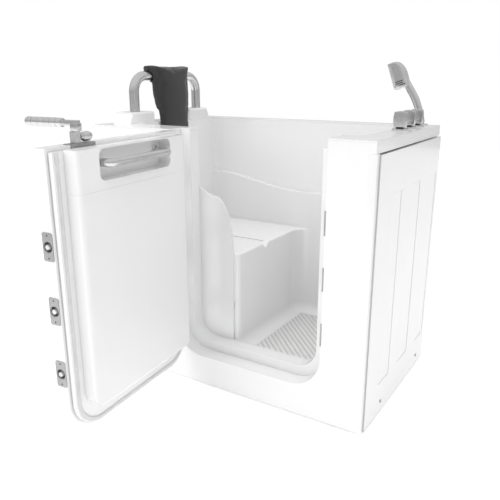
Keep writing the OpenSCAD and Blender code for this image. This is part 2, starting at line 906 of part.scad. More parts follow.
// Separate side panel with turned-in edges and three bays pressed into it.
module side_panel() {
  t = panel_sheet;
  color(white) placed() difference() {
    union() {
      difference() {
        block(panel_inner, tub_length, 0, tub_depth, front_clearance, panel_top_z);
        block(panel_inner - over, tub_length - t, t, tub_depth - t, 0, panel_top_z - t);
      }
      along_x(tub_length - bay_depth - t, tub_length - t) bay_outlines(t);
    }
    along_x(tub_length - bay_depth, tub_length + over) bay_outlines(0);
    for (y = panel_screw_y)
      rod_x(tub_length - t - over, tub_length + over, y, panel_screw_z, panel_screw + 2 * seat_gap);
  }
}

module panel_screws() {
  color(steel) placed() for (y = panel_screw_y) screw_x(tub_length, y, panel_screw_z, panel_screw, panel_sheet + tube_side / 2);
}

// A pan-head screw whose shank points to -X from the face at x.
module screw_x(x, y, z, d, l) {
  rod_x(x - l, x, y, z, d);
  difference() {
    rod_x(x, x + d / 3, y, z, 2 * d);
    block(x + d / 6, x + d, y - d / 8, y + d / 8, z - 2 * d, z + 2 * d);
  }
}

// Square tube from one corner to the other, open at its ends along the axis given.
module tube(x0, x1, y0, y1, z0, z1, axis) {
  w = [axis == 0 ? -over : tube_wall, axis == 1 ? -over : tube_wall, axis == 2 ? -over : tube_wall];
  difference() {
    block(x0, x1, y0, y1, z0, z1);
    block(x0 + w[0], x1 - w[0], y0 + w[1], y1 - w[1], z0 + w[2], z1 - w[2]);
  }
}

module frame_uprights() {
  z0 = frame_height + tube_side;
  s = tube_side;
  color(steel) placed() {
    for (p = corner_posts) tube(p[0], p[0] + s, p[1], p[1] + s, z0, deck_under, 2);
    for (x = seat_posts_x, y = seat_posts_y) tube(x, x + s, y, y + s, z0, seat_height - wall, 2);
    for (y = seat_posts_y) tube(well_rail_x, well_rail_x + s, y, y + s, z0, well_floor - wall, 2);
  }
}

module frame_long_rails() {
  z0 = frame_height;
  s = tube_side;
  color(steel) placed() {
    for (y = long_rails_y) tube(frame_inset, end_rail_x + s, y, y + s, z0, z0 + s, 0);
    for (i = [0:len(cross_rails_x) - 2])
      tube(cross_rails_x[i] + s, cross_rails_x[i + 1], mid_y - s / 2, mid_y + s / 2, z0, z0 + s, 0);
  }
}

module frame_cross_rails() {
  s = tube_side;
  color(steel) placed() difference() {
    for (x = cross_rails_x) tube(x, x + s, long_rails_y[0] + s, long_rails_y[1], frame_height, frame_height + s, 1);
    for (y = panel_screw_y)
      rod_x(end_rail_x + s - tube_wall - over, end_rail_x + s + over, y, panel_screw_z, panel_screw + 2 * seat_gap);
  }
}

module feet_places() {
  s = tube_side / 2;
  for (p = corner_posts) translate([p[0] + s, p[1] + s, 0]) children();
  at(tub_length / 2, mid_y, 0) children();
}

module levelling_feet() {
  color(dark) placed() feet_places() {
    cylinder(h = foot_height / 2, d = foot_diameter);
    at(0, 0, foot_height / 2) cylinder(h = foot_height / 2, d1 = foot_diameter, d2 = 2 * stud_diameter);
    cylinder(h = frame_height, d = stud_diameter);
  }
}

module foot_nuts() {
  nut = stud_diameter * 2 / 3;
  color(steel) placed() feet_places() at(0, 0, frame_height - nut) difference() {
    cylinder(h = nut, d = 2 * stud_diameter, $fn = 6);
    at(0, 0, -over) cylinder(h = nut + 2 * over, d = stud_diameter + 2 * seat_gap);
  }
}

// Quarter bend of round tube in the plane of depth and height.
module bend(d) {
  rotate([90, 0, 90]) rotate_extrude(angle = 90) at(rail_bend, 0) circle(d = d);
}

module rail_solid(d, cut) {
  z = rail_height - rail_bend;
  for (y = [rail_front_y, rail_back_y]) rod_z(rail_x, y, boss_top - rail_socket - cut, z, d);
  rod_y(rail_x, rail_front_y + rail_bend, rail_back_y - rail_bend, rail_height, d);
  at(rail_x, rail_back_y - rail_bend, z) bend(d);
  at(rail_x, rail_front_y + rail_bend, z) mirror([0, 1, 0]) bend(d);
}

// Inverted U of round tube that carries the headrest.
module head_rail() {
  color(chrome) placed() difference() {
    rail_solid(rail_diameter, 0);
    rail_solid(rail_diameter - 2 * rail_wall, over);
  }
}

module rail_nuts() {
  color(steel) placed() for (y = [rail_front_y, rail_back_y]) at(rail_x, y, 0) difference() {
    rod_z(0, 0, boss_top - wall - rail_nut_height, boss_top - wall, rail_nut_diameter);
    rod_z(0, 0, deck_height, boss_top + over, rail_diameter + 2 * seat_gap);
  }
}

// Where the back rest's surface stands at a height.
function rest_x(z) = rest_top_x + (rest_foot_x - rest_top_x) * (deck_height - z) / (deck_height - seat_height);

// Padded headrest that hooks over the rail, crowned in front and drawn in at its foot.
module headrest() {
  hook = rail_diameter / 2 + move_gap;
  back = rail_x - hook - pad_lip;
  front = pad_front_x + pad_crown;
  half = pad_width / 2;
  wide = half * pad_flare_share;
  foot = half * pad_taper_share;
  crown_radius = (half * half / pad_crown + pad_crown) / 2;
  dip_radius = (half * half / pad_dip + pad_dip) / 2;
  color(dark) placed() difference() {
    intersection() {
      along_y(0, tub_depth) difference() {
        polygon([[back, rail_height - pad_lip_drop], [back, pad_top - pad_round], [back + pad_round / 3,
          pad_top - pad_round / 3], [back + pad_round, pad_top], [front - pad_round, pad_top],
          [front - pad_round / 3, pad_top - pad_round / 3], [front, pad_top - pad_round],
          [front, pad_bottom + pad_round], [front - pad_foot / 4, pad_bottom + pad_foot / 8],
          [front - pad_foot / 2, pad_bottom], [rest_x(pad_bottom) + move_gap, pad_bottom],
          [rest_top_x + move_gap, deck_height], [rest_top_x + move_gap, rail_height - pad_lip_drop]]);
        at(rail_x, rail_height) circle(r = hook);
        at(rail_x - hook, rail_height - 2 * hook) square([2 * hook, 2 * hook]);
      }
      along_x(0, tub_length) at(mid_y, 0) polygon([[-wide, pad_top + over], [wide, pad_top + over],
        [foot, pad_bottom - over], [-foot, pad_bottom - over]]);
      linear_extrude(pad_top + over) at(0, mid_y) intersection() {
        polygon([[back - over, -wide], [rail_x, -wide], [front, -half], [front, half], [rail_x, wide],
          [back - over, wide]]);
        at(front - crown_radius, 0) circle(r = crown_radius, $fn = 512);
      }
    }
    at(0, mid_y, pad_top - pad_dip + dip_radius) rotate([0, 90, 0])
      cylinder(h = tub_length, r = dip_radius, $fn = 512);
  }
}

// A flat-head screw, its head flush with the level z = 0 and its shank below.
module flat_screw(d = plate_screw, l = plate_screw_length) {
  difference() {
    union() {
      rod_z(0, 0, -l, 0, d);
      at(0, 0, -plate_thickness) cylinder(h = plate_thickness, d1 = d, d2 = d + 2 * plate_thickness);
    }
    for (a = [0, 90]) rotate([0, 0, a]) block(-d / 2, d / 2, -d / 10, d / 10, -d / 5, over);
  }
}

module flat_hole(d = plate_screw, l = plate_screw_length) {
  rod_z(0, 0, -l - over, over, d + 2 * seat_gap);
  at(0, 0, -plate_thickness) cylinder(h = plate_thickness, d1 = d + 2 * seat_gap,
    d2 = d + 2 * plate_thickness + 2 * seat_gap);
}

// Both screws of each plate, from the plate's face in the direction given.
module plate_screw_places(x, turn) {
  reach = latch_plate_length / 2 - plate_screw_inset;
  for (z = bolt_heights, s = [-reach, reach]) at(x, bolt_depth, z + s) rotate([0, turn, 0]) children();
}

module plate_outline(z) {
  w = latch_plate_width / 2;
  l = latch_plate_length / 2;
  round_rect(bolt_depth - w, z - l, bolt_depth + w, z + l, plate_corner);
}

// Strike plates on the right side of the doorway, their lips folded over its front corner.
module strike_plates() {
  face = door_right - plate_thickness;
  l = latch_plate_length / 2;
  color(steel) placed() difference() {
    for (z = bolt_heights) {
      along_x(face, door_right) plate_outline(z);
      block(face, door_right, -plate_thickness / 2, bolt_depth, z - l, z + l);
      block(face, door_right + strike_lip - plate_thickness, -plate_thickness / 2, 0, z - l, z + l);
    }
    for (z = bolt_heights) rod_x(face - over, door_right + over, bolt_depth, z, strike_hole);
    plate_screw_places(face, -90) flat_hole();
  }
}

module strike_screws() {
  color(steel) placed() plate_screw_places(door_right - plate_thickness, -90)
    flat_screw();
}

// Plates round the bolts on the door's free edge.
module latch_plates() {
  face = slab_right + plate_thickness;
  color(steel) opened() difference() {
    for (z = bolt_heights) along_x(slab_right, face) plate_outline(z);
    for (z = bolt_heights) rod_x(slab_right - over, face + over, bolt_depth, z, bolt_hole);
    plate_screw_places(face, 90) flat_hole();
  }
}

module latch_screws() {
  color(steel) opened() plate_screw_places(slab_right + plate_thickness, 90)
    flat_screw();
}

// Heights of a hinge's knuckles, lower, middle and upper, as bottom and top.
function knuckle(i) = [-hinge_length / 2 + i * hinge_length / 3 + (i > 0 ? move_gap / 2 : 0),
  -hinge_length / 2 + (i + 1) * hinge_length / 3 - (i < 2 ? move_gap / 2 : 0)];

// The three screws of each hinge leaf, at a distance from the pin.
module leaf_screw_places(side) {
  for (z = hinge_heights, i = [-1, 0, 1])
    at(hinge_x + side * leaf_width * 3 / 4, -leaf_thickness, z + i * hinge_length / 3)
      rotate([90, 0, 0]) children();
}

// One leaf with its cranked arms, to the left (side -1) or right (side 1) of the pin.
module leaf(side, knuckles) {
  r = knuckle_diameter / 2;
  inner = side * (r - leaf_thickness);
  outer = side * leaf_width;
  difference() {
    union() {
      block(min(inner, outer), max(inner, outer), hinge_out - leaf_thickness, hinge_out,
        -hinge_length / 2, hinge_length / 2);
      for (i = knuckles) {
        k = knuckle(i);
        rod_z(0, 0, k[0], k[1], knuckle_diameter);
        block(min(inner, side * r), max(inner, side * r), 0, hinge_out, k[0], k[1]);
      }
    }
    rod_z(0, 0, -hinge_length, hinge_length, pin_diameter + 2 * (side < 0 ? seat_gap : running));
  }
}

module hinge_tub_leaves() {
  color(chrome) placed() difference() {
    for (z = hinge_heights) at(hinge_x, -hinge_out, z) leaf(-1, [0, 2]);
    leaf_screw_places(-1) flat_hole();
  }
}

module hinge_tub_screws() {
  color(steel) placed() leaf_screw_places(-1) flat_screw();
}

module hinge_pins() {
  l = hinge_length / 2;
  color(steel) placed() for (z = hinge_heights) at(hinge_x, -hinge_out, z) {
    rod_z(0, 0, -l, l, pin_diameter);
    for (s = [0, 1]) mirror([0, 0, s]) at(0, 0, l)
      cylinder(h = pin_diameter / 3, d1 = knuckle_diameter * 3 / 4, d2 = pin_diameter);
  }
}

module hinge_door_leaves() {
  color(chrome) opened() difference() {
    for (z = hinge_heights) at(hinge_x, -hinge_out, z) leaf(1, [1]);
    leaf_screw_places(1) flat_hole();
  }
}

module hinge_door_screws() {
  color(steel) opened() leaf_screw_places(1) flat_screw();
}

module slab_outline(g) {
  u_shape(slab_left + g, slab_right - g, slab_bottom + g, deck_height - g, slab_radius - g);
}

// The door's outer slab, a hollow moulding that houses the bolts.
module door_slab() {
  color(white) opened() difference() {
    along_y(0, slab_thickness) slab_outline(0);
    along_y(skin, slab_thickness - skin) slab_outline(skin);
    for (z = bolt_heights) rod_x(slab_right - skin - over, slab_right + over, bolt_depth, z, bolt_hole);
    plate_screw_places(slab_right + plate_thickness, 90) flat_hole();
    leaf_screw_places(1) flat_hole();
    rod_z(lever_x, lever_depth, deck_height - skin - over, deck_height + over, spindle_diameter + 2 * move_gap);
    lever_screw_places() flat_hole();
  }
}

module flange_outline(g) {
  i = flange_inset + g;
  u_shape(slab_left + i, slab_right - i, slab_bottom + i, flange_top, slab_radius - i);
}

// Round cord that follows the flange, its centre inset by i.
module flange_cord(i, y, top, d) {
  x0 = slab_left + i;
  x1 = slab_right - i;
  z0 = slab_bottom + i;
  r = slab_radius - i;
  rod_x(x0 + r, x1 - r, y, z0, d);
  for (x = [x0, x1]) rod_z(x, y, z0 + r, top, d);
  for (c = [[x0 + r, 180], [x1 - r, 270]]) translate([c[0], y, z0 + r]) rotate([90, 0, 0]) rotate([0, 0, c[1]])
    rotate_extrude(angle = 90) at(r, 0) circle(d = d);
}

module seal_track(g, top) {
  i = seal_inset - flange_inset - seal_width / 2;
  difference() {
    intersection() {
      flange_outline(i - g);
      square([tub_length, top]);
    }
    u_shape(slab_left + seal_inset + seal_width / 2 + g, slab_right - seal_inset - seal_width / 2 - g,
      slab_bottom + seal_inset + seal_width / 2 + g, deck_height, slab_radius - seal_inset - seal_width / 2 - g);
  }
}

// Rear flange of the door with its neck and the channel for the seal.
module door_flange() {
  neck = flange_inset * 3 / 2;
  color(white) opened() difference() {
    union() {
      along_y(flange_front, flange_back) flange_outline(0);
      along_y(slab_thickness, flange_front) u_shape(slab_left + flange_inset + neck,
        slab_right - flange_inset - neck, slab_bottom + flange_inset + neck,
        deck_height - lever_lip - neck, slab_radius - flange_inset - neck);
    }
    along_y(flange_back - seal_depth, flange_back + over) seal_track(seat_gap, deck_height);
  }
}

// Seal in the flange's channel, its bulb turned to the land.
module door_seal() {
  bulb = rebate_depth - move_gap - flange_back + seal_depth;
  color(white) opened() {
    along_y(flange_back - seal_depth, flange_back) seal_track(0, seal_top);
    flange_cord(seal_inset, rebate_depth - move_gap - bulb / 2, seal_top, bulb);
  }
}

// Slanted blocks that close the channel's two upper ends.
module seal_block() {
  y0 = flange_back - seal_depth;
  y1 = rebate_depth - move_gap;
  color(plastic) opened() for (x = [slab_left + seal_inset, slab_right - seal_inset])
    along_x(x - seal_width / 2, x + seal_width / 2)
      polygon([[y0, seal_top], [y1, seal_top], [y1, seal_top + seal_width], [flange_back, flange_top],
        [y0, flange_top]]);
}

// What bounds the inner panel and its cap, shrunk by g on all sides but the front.
module panel_form(g) {
  intersection() {
    along_y(flange_back - (g > 0 ? over : 0), panel_back - g)
      u_shape(panel_left + g, panel_right - g, panel_bottom + g, panel_top - g, panel_radius - g);
    linear_extrude(deck_height) round_rect(panel_left + g, flange_back - 2 * panel_edge, panel_right - g,
      panel_back - g, panel_edge - g);
    along_x(0, tub_length) round_rect(flange_back - 2 * panel_edge, panel_bottom + g, panel_back - g,
      deck_height + panel_edge, panel_edge - g);
  }
}

module panel_shell() {
  difference() {
    panel_form(0);
    panel_form(skin);
  }
}

module inner_panel() {
  color(white) opened() intersection() {
    panel_shell();
    block(0, tub_length, 0, tub_depth, 0, cap_joint);
  }
}

module recess_outline(g) {
  round_rect(recess_left - g, recess_bottom - g, recess_right + g, panel_top - recess_lip + g, recess_corner + g);
}

// Cap over the inner panel with its hand recess.
module panel_cap() {
  color(white) opened() difference() {
    union() {
      intersection() {
        panel_shell();
        block(0, tub_length, 0, tub_depth, cap_joint, deck_height);
      }
      intersection() {
        panel_form(0);
        along_y(panel_back - recess_depth - skin, panel_back) recess_outline(skin);
      }
    }
    along_y(panel_back - recess_depth, panel_back + over) recess_outline(0);
  }
}

module grab_bar() {
  y = panel_back + bar_proud;
  r = bar_diameter / 6;
  color(chrome) opened() {
    rod_x(bar_left + r, bar_right - r, y, bar_height, bar_diameter);
    for (e = [[bar_left, 0], [bar_right, 1]]) translate([e[0], y, bar_height]) mirror([e[1], 0, 0])
      rotate([0, 90, 0]) cylinder(h = r, d1 = bar_diameter - 2 * r, d2 = bar_diameter);
  }
}

// Posts from the floor of the recess to the bar.
module bar_posts() {
  y = panel_back + bar_proud;
  color(chrome) opened() difference() {
    for (x = [recess_left + post_inset, recess_right - post_inset]) {
      rod_y(x, panel_back - recess_depth, y, bar_height, post_diameter);
      rod_y(x, panel_back - recess_depth, panel_back - recess_depth + plate_thickness, bar_height,
        2 * post_diameter);
    }
    rod_x(0, tub_length, y, bar_height, bar_diameter + 2 * seat_gap);
  }
}

// Plastic bushes that guide the bolts behind their plates.
module bolt_guides() {
  x1 = slab_right - skin;
  color(dark) opened() for (z = bolt_heights) difference() {
    union() {
      rod_x(x1 - guide_length, x1, bolt_depth, z, bolt_hole + skin);
      rod_x(x1, slab_right - bolt_rest / 2, bolt_depth, z, bolt_hole - 2 * seat_gap);
    }
    rod_x(x1 - guide_length - over, slab_right, bolt_depth, z, bolt_diameter + 2 * running);
  }
}

// The three bolts with their tapered noses.
module latch_bolts() {
  x0 = slab_right - carrier_inset + carrier_width;
  x1 = slab_right + bolt_rest;
  color(chrome) opened() for (z = bolt_heights) {
    rod_x(x0 - carrier_width, x0, bolt_depth, z, bolt_diameter / 2);
    rod_x(x0, x1 - bolt_taper, bolt_depth, z, bolt_diameter);
    at(x1 - bolt_taper, bolt_depth, z) rotate([0, 90, 0])
      cylinder(h = bolt_taper, d1 = bolt_diameter, d2 = bolt_diameter * 2 / 3);
  }
}

// Teeth of the rack, which leave a gap opposite the spindle.
module rack_outline() {
  pitch = PI * tooth_module;
  half = pitch / 4 - backlash / 4;
  slope = tan(pressure_angle) * tooth_module;
  for (i = [-rack_teeth:1]) at(lever_x + (i + 1 / 2) * pitch, lever_depth - pitch_radius)
    polygon([[-half - slope * 5 / 4, -tooth_module * 5 / 4], [half + slope * 5 / 4, -tooth_module * 5 / 4],
      [half - slope, tooth_module], [-half + slope, tooth_module]]);
}

// Carrier that links the bolts, with the rack at its top.
module latch_carrier() {
  x0 = slab_right - carrier_inset;
  x1 = x0 + carrier_width;
  y1 = bolt_depth + carrier_depth / 2;
  pitch = PI * tooth_module;
  root = lever_depth - pitch_radius - tooth_module * 5 / 4;
  rack_left = lever_x - (rack_teeth + 1) * pitch;
  color(steel) opened() {
    difference() {
      block(x0, x1, bolt_depth - carrier_depth / 2, y1, bolt_heights[0] - bolt_diameter, gear_top);
      for (z = bolt_heights) rod_x(x0 - over, x1 + over, bolt_depth, z, bolt_diameter / 2 + 2 * seat_gap);
    }
    block(rack_left, x0, root - rack_back, root, gear_top - gear_width, gear_top);
    block(x0, x1, root - rack_back, root, gear_top - gear_width, gear_top);
    at(0, 0, gear_top - gear_width) linear_extrude(gear_width) rack_outline();
  }
}

// Point of an involute flank at the roll given in degrees, turned back by the angle a.
function flank(base, roll, a) =
  let (t = roll * PI / 180, r = base * sqrt(1 + t * t), p = roll - atan(t) - a) [r * cos(p), r * sin(p)];

// Pinion outline with involute flanks, one tooth pointing along +X.
module pinion_outline() {
  base = pitch_radius * cos(pressure_angle);
  tip = pitch_radius + tooth_module;
  root = pitch_radius - tooth_module * 5 / 4;
  steps = 4;
  last = sqrt(tip * tip / (base * base) - 1) * 180 / PI;
  play = backlash / 4 / pitch_radius * 180 / PI;
  half = 90 / pinion_teeth - play + tan(pressure_angle) * 180 / PI - pressure_angle;
  up = [for (i = [0:steps]) flank(base, last * i / steps, half)];
  tooth = concat([[root * cos(half), -root * sin(half)]], up,
    [for (i = [steps:-1:0]) [up[i][0], -up[i][1]]], [[root * cos(half), root * sin(half)]]);
  polygon([for (n = [0:pinion_teeth - 1]) let (a = 360 * n / pinion_teeth)
    for (p = tooth) [p[0] * cos(a) - p[1] * sin(a), p[0] * sin(a) + p[1] * cos(a)]]);
}

// Lever with its spindle and pinion, which draws the carrier along.
module lever_arm() {
  z0 = deck_height + arm_rise - arm_thickness / 2;
  half = arm_width / 2;
  color(chrome) opened() at(lever_x, lever_depth, 0) {
    at(0, 0, gear_top - gear_width) rotate([0, 0, -90]) linear_extrude(gear_width) pinion_outline();
    rod_z(0, 0, gear_top - gear_width - plate_thickness, z0, spindle_diameter);
    rod_z(0, 0, deck_height + plate_thickness + bearing_height + move_gap, z0, stem_diameter);
    at(0, 0, z0) linear_extrude(arm_thickness)
      round_rect(-half, -grip_start, half, arm_back, half * 3 / 4);
    rod_y(0, -grip_start - grip_length + grip_length / 6, -grip_start + half, deck_height + arm_rise, tang_diameter);
    rod_y(0, -grip_start, -grip_start + half, deck_height + arm_rise, arm_thickness);
  }
}

// Ringed grip on the lever's tang.
module lever_grip() {
  r = grip_diameter / 2;
  pitch = (grip_length - ring_collar) / ring_count;
  bulge = (pitch * pitch / 4 + ring_rise * ring_rise) / (2 * ring_rise);
  color(chrome) opened() at(lever_x, lever_depth - grip_start, deck_height + arm_rise)
    rotate([90, 0, 0]) difference() {
      rotate_extrude() intersection() {
        square([r, grip_length]);
        union() {
          square([r - 2 * ring_rise, grip_length - ring_rise]);
          at(0, 0) square([r - ring_rise, ring_collar]);
          for (i = [0:ring_count - 1])
            at(r - bulge, ring_collar + (i + 1 / 2) * pitch) circle(r = bulge);
        }
      }
      rod_z(0, 0, -over, grip_length * 5 / 6 + over, tang_diameter + 2 * seat_gap);
    }
}

module lever_screw_places() {
  for (x = [lever_x - plate_reach_left * 2 / 3, lever_x + plate_reach_right * 3 / 4])
    at(x, (slab_thickness + plate_front) / 2, deck_height + plate_thickness) children();
}

// Angle plate under the lever, its lip hooked behind the slab.
module lever_plate() {
  x0 = lever_x - plate_reach_left;
  x1 = lever_x + plate_reach_right;
  top = deck_height + plate_thickness;
  color(chrome) opened() difference() {
    union() {
      block(x0, x1, plate_front, slab_thickness + plate_thickness, deck_height, top);
      block(x0, x1, slab_thickness, slab_thickness + plate_thickness, deck_height - lever_lip, top);
    }
    rod_z(lever_x, lever_depth, deck_height - over, top + over, spindle_diameter + 2 * move_gap);
    lever_screw_places() flat_hole();
  }
}

module lever_plate_screws() {
  color(steel) opened() lever_screw_places() flat_screw();
}

// Bearing block of the spindle, which also holds the friction knob.
module lever_bearing() {
  z0 = deck_height + plate_thickness;
  half = bearing_width / 2;
  color(chrome) opened() difference() {
    at(0, 0, z0) linear_extrude(bearing_height) round_rect(lever_x - half,
      slab_thickness - bearing_lead - bearing_depth, lever_x + half, slab_thickness - bearing_lead,
      plate_corner / 2);
    rod_z(lever_x, lever_depth, z0 - over, z0 + bearing_height + over, spindle_diameter + 2 * running);
    rod_x(lever_x - half - over, lever_x - half + knob_seat, knob_y, z0 + bearing_height / 2,
      knob_spindle + 2 * running);
  }
}

// Domed friction knob beside the bearing block.
module friction_knob() {
  z = deck_height + plate_thickness + bearing_height / 2;
  r = knob_diameter / 2;
  color(chrome) opened() at(lever_x - bearing_width / 2, knob_y, z) rotate([0, -90, 0]) {
    rod_z(0, 0, -knob_seat + move_gap, over, knob_spindle);
    difference() {
      at(0, 0, move_gap) rotate_extrude() {
        square([r, knob_length - r / 2]);
        intersection() {
          square([r, knob_length]);
          at(0, knob_length - r * 5 / 4) circle(r = r * 5 / 4);
        }
      }
      for (a = [0:360 / knob_flutes:359]) rotate([0, 0, a]) at(r, 0, knob_length / 6)
        cylinder(h = knob_length / 3, d = r / 4);
    }
  }
}

// Escutcheons under the three handles.
module tap_escutcheons() {
  color(chrome) placed() for (y = tap_places_y) at(tap_x, y, deck_height) difference() {
    union() {
      cylinder(h = escutcheon_thickness * 2 / 3, d = escutcheon_diameter);
      at(0, 0, escutcheon_thickness * 2 / 3) cylinder(h = escutcheon_thickness / 3,
        d1 = escutcheon_diameter, d2 = escutcheon_diameter - escutcheon_thickness);
    }
    at(0, 0, -over) cylinder(h = 2 * escutcheon_thickness, d = valve_neck + 2 * seat_gap);
  }
}

// Valves under the deck, joined by a manifold that feeds the spout.
module valve_bodies() {
  top = deck_under - move_gap;
  neck_top = deck_height + escutcheon_thickness;
  color(steel) placed() difference() {
    union() {
      for (y = tap_places_y) {
        rod_z(tap_x, y, top - valve_length, top - valve_nut_height, valve_diameter);
        rod_z(tap_x, y, top - valve_length, neck_top, valve_neck);
        rod_z(tap_x, y, neck_top - over, neck_top + handle_height / 3, valve_spindle);
      }
      for (y = [tap_places_y[0], tap_places_y[1]])
        rod_z(tap_x, y, top - valve_length - supply_length, top - valve_length, supply_diameter);
      rod_y(tap_x, tap_places_y[0], tap_places_y[2], spout_height, spout_diameter);
      rod_x(basin_right + wall + spout_tail, tap_x, tap_places_y[1], spout_height, spout_diameter);
    }
    for (y = [tap_places_y[0], tap_places_y[1]])
      rod_z(tap_x, y, top - valve_length - supply_length - over, top - valve_length, supply_bore);
  }
}

// Nuts that clamp the valves and the shower's cradle under the deck.
module valve_nuts() {
  color(steel) placed() for (y = concat(tap_places_y, [shower_y])) at(tap_x, y, 0) difference() {
    w = y == shower_y ? cradle_neck : valve_neck;
    rod_z(0, 0, deck_under - valve_nut_height, deck_under, w + 2 * skin);
    rod_z(0, 0, 0, deck_height, w + 2 * seat_gap);
  }
}

// One handle, a rounded block on a short neck, standing over the valve at y.
module handle(y) {
  base = deck_height + escutcheon_thickness + move_gap;
  neck = handle_height / 14;
  color(chrome) placed() at(tap_x, y, base) difference() {
    union() {
      cylinder(h = neck, d = valve_neck);
      intersection() {
        at(0, 0, neck) linear_extrude(handle_height - neck) round_rect(-handle_width / 2,
          -handle_thickness / 2, handle_width / 2, handle_thickness / 2, handle_round);
        along_y(-handle_width, handle_width) round_rect(-handle_width / 2, neck, handle_width / 2,
          handle_height, handle_round);
      }
    }
    at(0, 0, -over) cylinder(h = handle_height / 3 + over, d = valve_spindle + 2 * running);
  }
}

module hot_handle() {
  handle(tap_places_y[0]);
}

module cold_handle() {
  handle(tap_places_y[1]);
}

module diverter_handle() {
  handle(tap_places_y[2]);
}

// Bath filler on the right wall, below the deck.
module filler_spout() {
  y = tap_places_y[1];
  r = spout_diameter;
  color(chrome) placed() difference() {
    union() {
      rod_x(basin_right - r, basin_right + wall + spout_tail, y, spout_height, spout_diameter);
      rod_x(basin_right - escutcheon_thickness, basin_right, y, spout_height, 2 * spout_diameter);
      at(basin_right - r, y, spout_height - r) rotate([90, 0, 0]) rotate([0, 0, 90])
        rotate_extrude(angle = 90) at(r, 0) circle(d = spout_diameter);
      rod_z(basin_right - 2 * r, y, spout_height - 2 * r, spout_height - r, spout_diameter);
    }
    rod_z(basin_right - 2 * r, y, spout_height - 2 * r - over, spout_height - r, spout_diameter * 3 / 4);
  }
}

// Puts the drawing at the mouth of the cradle's socket, with +Z out along the socket.
module at_socket() {
  placed() at(tap_x, shower_y, deck_height + escutcheon_thickness) rotate([0, -shower_tilt, 0])
    children();
}

// Cradle in the deck with the slanted socket of the hand shower.
module shower_cradle() {
  color(chrome) difference() {
    placed() {
      rod_z(tap_x, shower_y, deck_under - valve_length / 2, deck_height, cradle_neck);
      at(tap_x, shower_y, deck_height) cylinder(h = escutcheon_thickness, d1 = cradle_base,
        d2 = cradle_neck);
    }
    at_socket() rod_z(0, 0, -spigot_length - over, cradle_base, spigot_diameter + 2 * move_gap);
  }
}

// Puts the drawing where the handle's bend starts, with +Z on along it.
module at_bend() {
  at_socket() at(0, 0, foot_length) children();
}

// Puts the drawing at the handle's end, turned on by the bend.
module at_handle_end() {
  at_bend() at(-shower_bend_radius, 0, 0) rotate([0, -shower_bend, 0])
    at(shower_bend_radius, 0, 0) children();
}

// Puts the drawing in the middle of the shower's head, with +X to its back and +Z along it.
module at_head() {
  at_handle_end() rotate([0, shower_tilt + shower_bend - head_tilt, 0]) at(-head_offset, 0, head_rise)
    children();
}

module head_outline(g) {
  round_rect(-head_width / 2 - g, -head_length / 2 - g, head_width / 2 + g, head_length / 2 + g,
    head_width * 2 / 5 + g);
}

// Hand shower without its face plate.
module hand_shower() {
  half = head_thickness / 2;
  foot = shower_foot / 2 * tan(shower_tilt) + move_gap;
  color(chrome) difference() {
    union() {
      at_socket() {
        rod_z(0, 0, -spigot_length, foot_length, spigot_diameter);
        at(0, 0, foot) cylinder(h = foot_length - foot, d1 = shower_foot, d2 = shower_diameter);
      }
      at_bend() at(-shower_bend_radius, 0, 0) rotate([90, 0, 0]) rotate_extrude(angle = shower_bend)
        at(shower_bend_radius, 0) circle(d = shower_diameter);
      at_handle_end() sphere(d = shower_diameter);
      at_head() intersection() {
        along_x(-half, half) head_outline(0);
        along_y(-head_width, head_width) round_rect(-half - head_width, -head_length / 2, half,
          head_length / 2, half);
      }
    }
    at_head() along_x(-half - over, -half + face_depth) head_outline(-skin);
  }
}

// Face plate with its rows of nozzles.
module shower_face() {
  half = head_thickness / 2;
  color(dark) at_head() {
    along_x(-half + face_depth / 2, -half + face_depth) head_outline(-skin - seat_gap);
    for (i = [-2:2], j = [-1:1])
      rod_x(-half, -half + face_depth, j * head_width / 5, i * head_length / 8, nozzle_diameter);
  }
}

// Waste fitting with its flange in the foot well, a branch to the overflow and a tail for the trap.
module drain_body() {
  z_pipe = frame_height + tube_side + waste_diameter * 3 / 4;
  z_tail = z_pipe - waste_diameter * 5 / 8;
  bore = waste_diameter - 2 * pipe_wall;
  color(steel) placed() at(drain_x, drain_y, 0) difference() {
    union() {
      rod_z(0, 0, well_floor, well_floor + drain_flange, drain_diameter);
      rod_z(0, 0, z_tail, well_floor + drain_flange, waste_diameter + 2 * pipe_wall);
      rod_z(0, 0, frame_height, z_tail, waste_diameter);
      rod_x(0, waste_diameter, 0, z_pipe, waste_diameter);
    }
    difference() {
      rod_z(0, 0, frame_height - over, well_floor + drain_flange + over, bore);
      intersection() {
        union() {
          rod_z(0, 0, well_floor - wall, well_floor, 2 * stem_bore);
          for (a = [0:120:240]) rotate([0, 0, a]) block(0, bore, -pipe_wall / 2, pipe_wall / 2,
            well_floor - wall, well_floor);
        }
        rod_z(0, 0, 0, well_floor, bore + pipe_wall);
      }
    }
    rod_z(0, 0, 0, deck_height, stem_bore + 2 * running);
    rod_x(0, waste_diameter + over, 0, z_pipe, bore);
  }
}

// Plug on its stem, which the overflow knob lifts.
module drain_plug() {
  z = well_floor + drain_flange + move_gap;
  color(chrome) placed() at(drain_x, drain_y, 0) {
    rod_z(0, 0, well_floor - 3 * wall, z, stem_bore);
    at(0, 0, z) cylinder(h = drain_flange, d = plug_diameter);
    at(0, 0, z + drain_flange) cylinder(h = drain_flange, d1 = plug_diameter, d2 = plug_diameter / 2);
  }
}

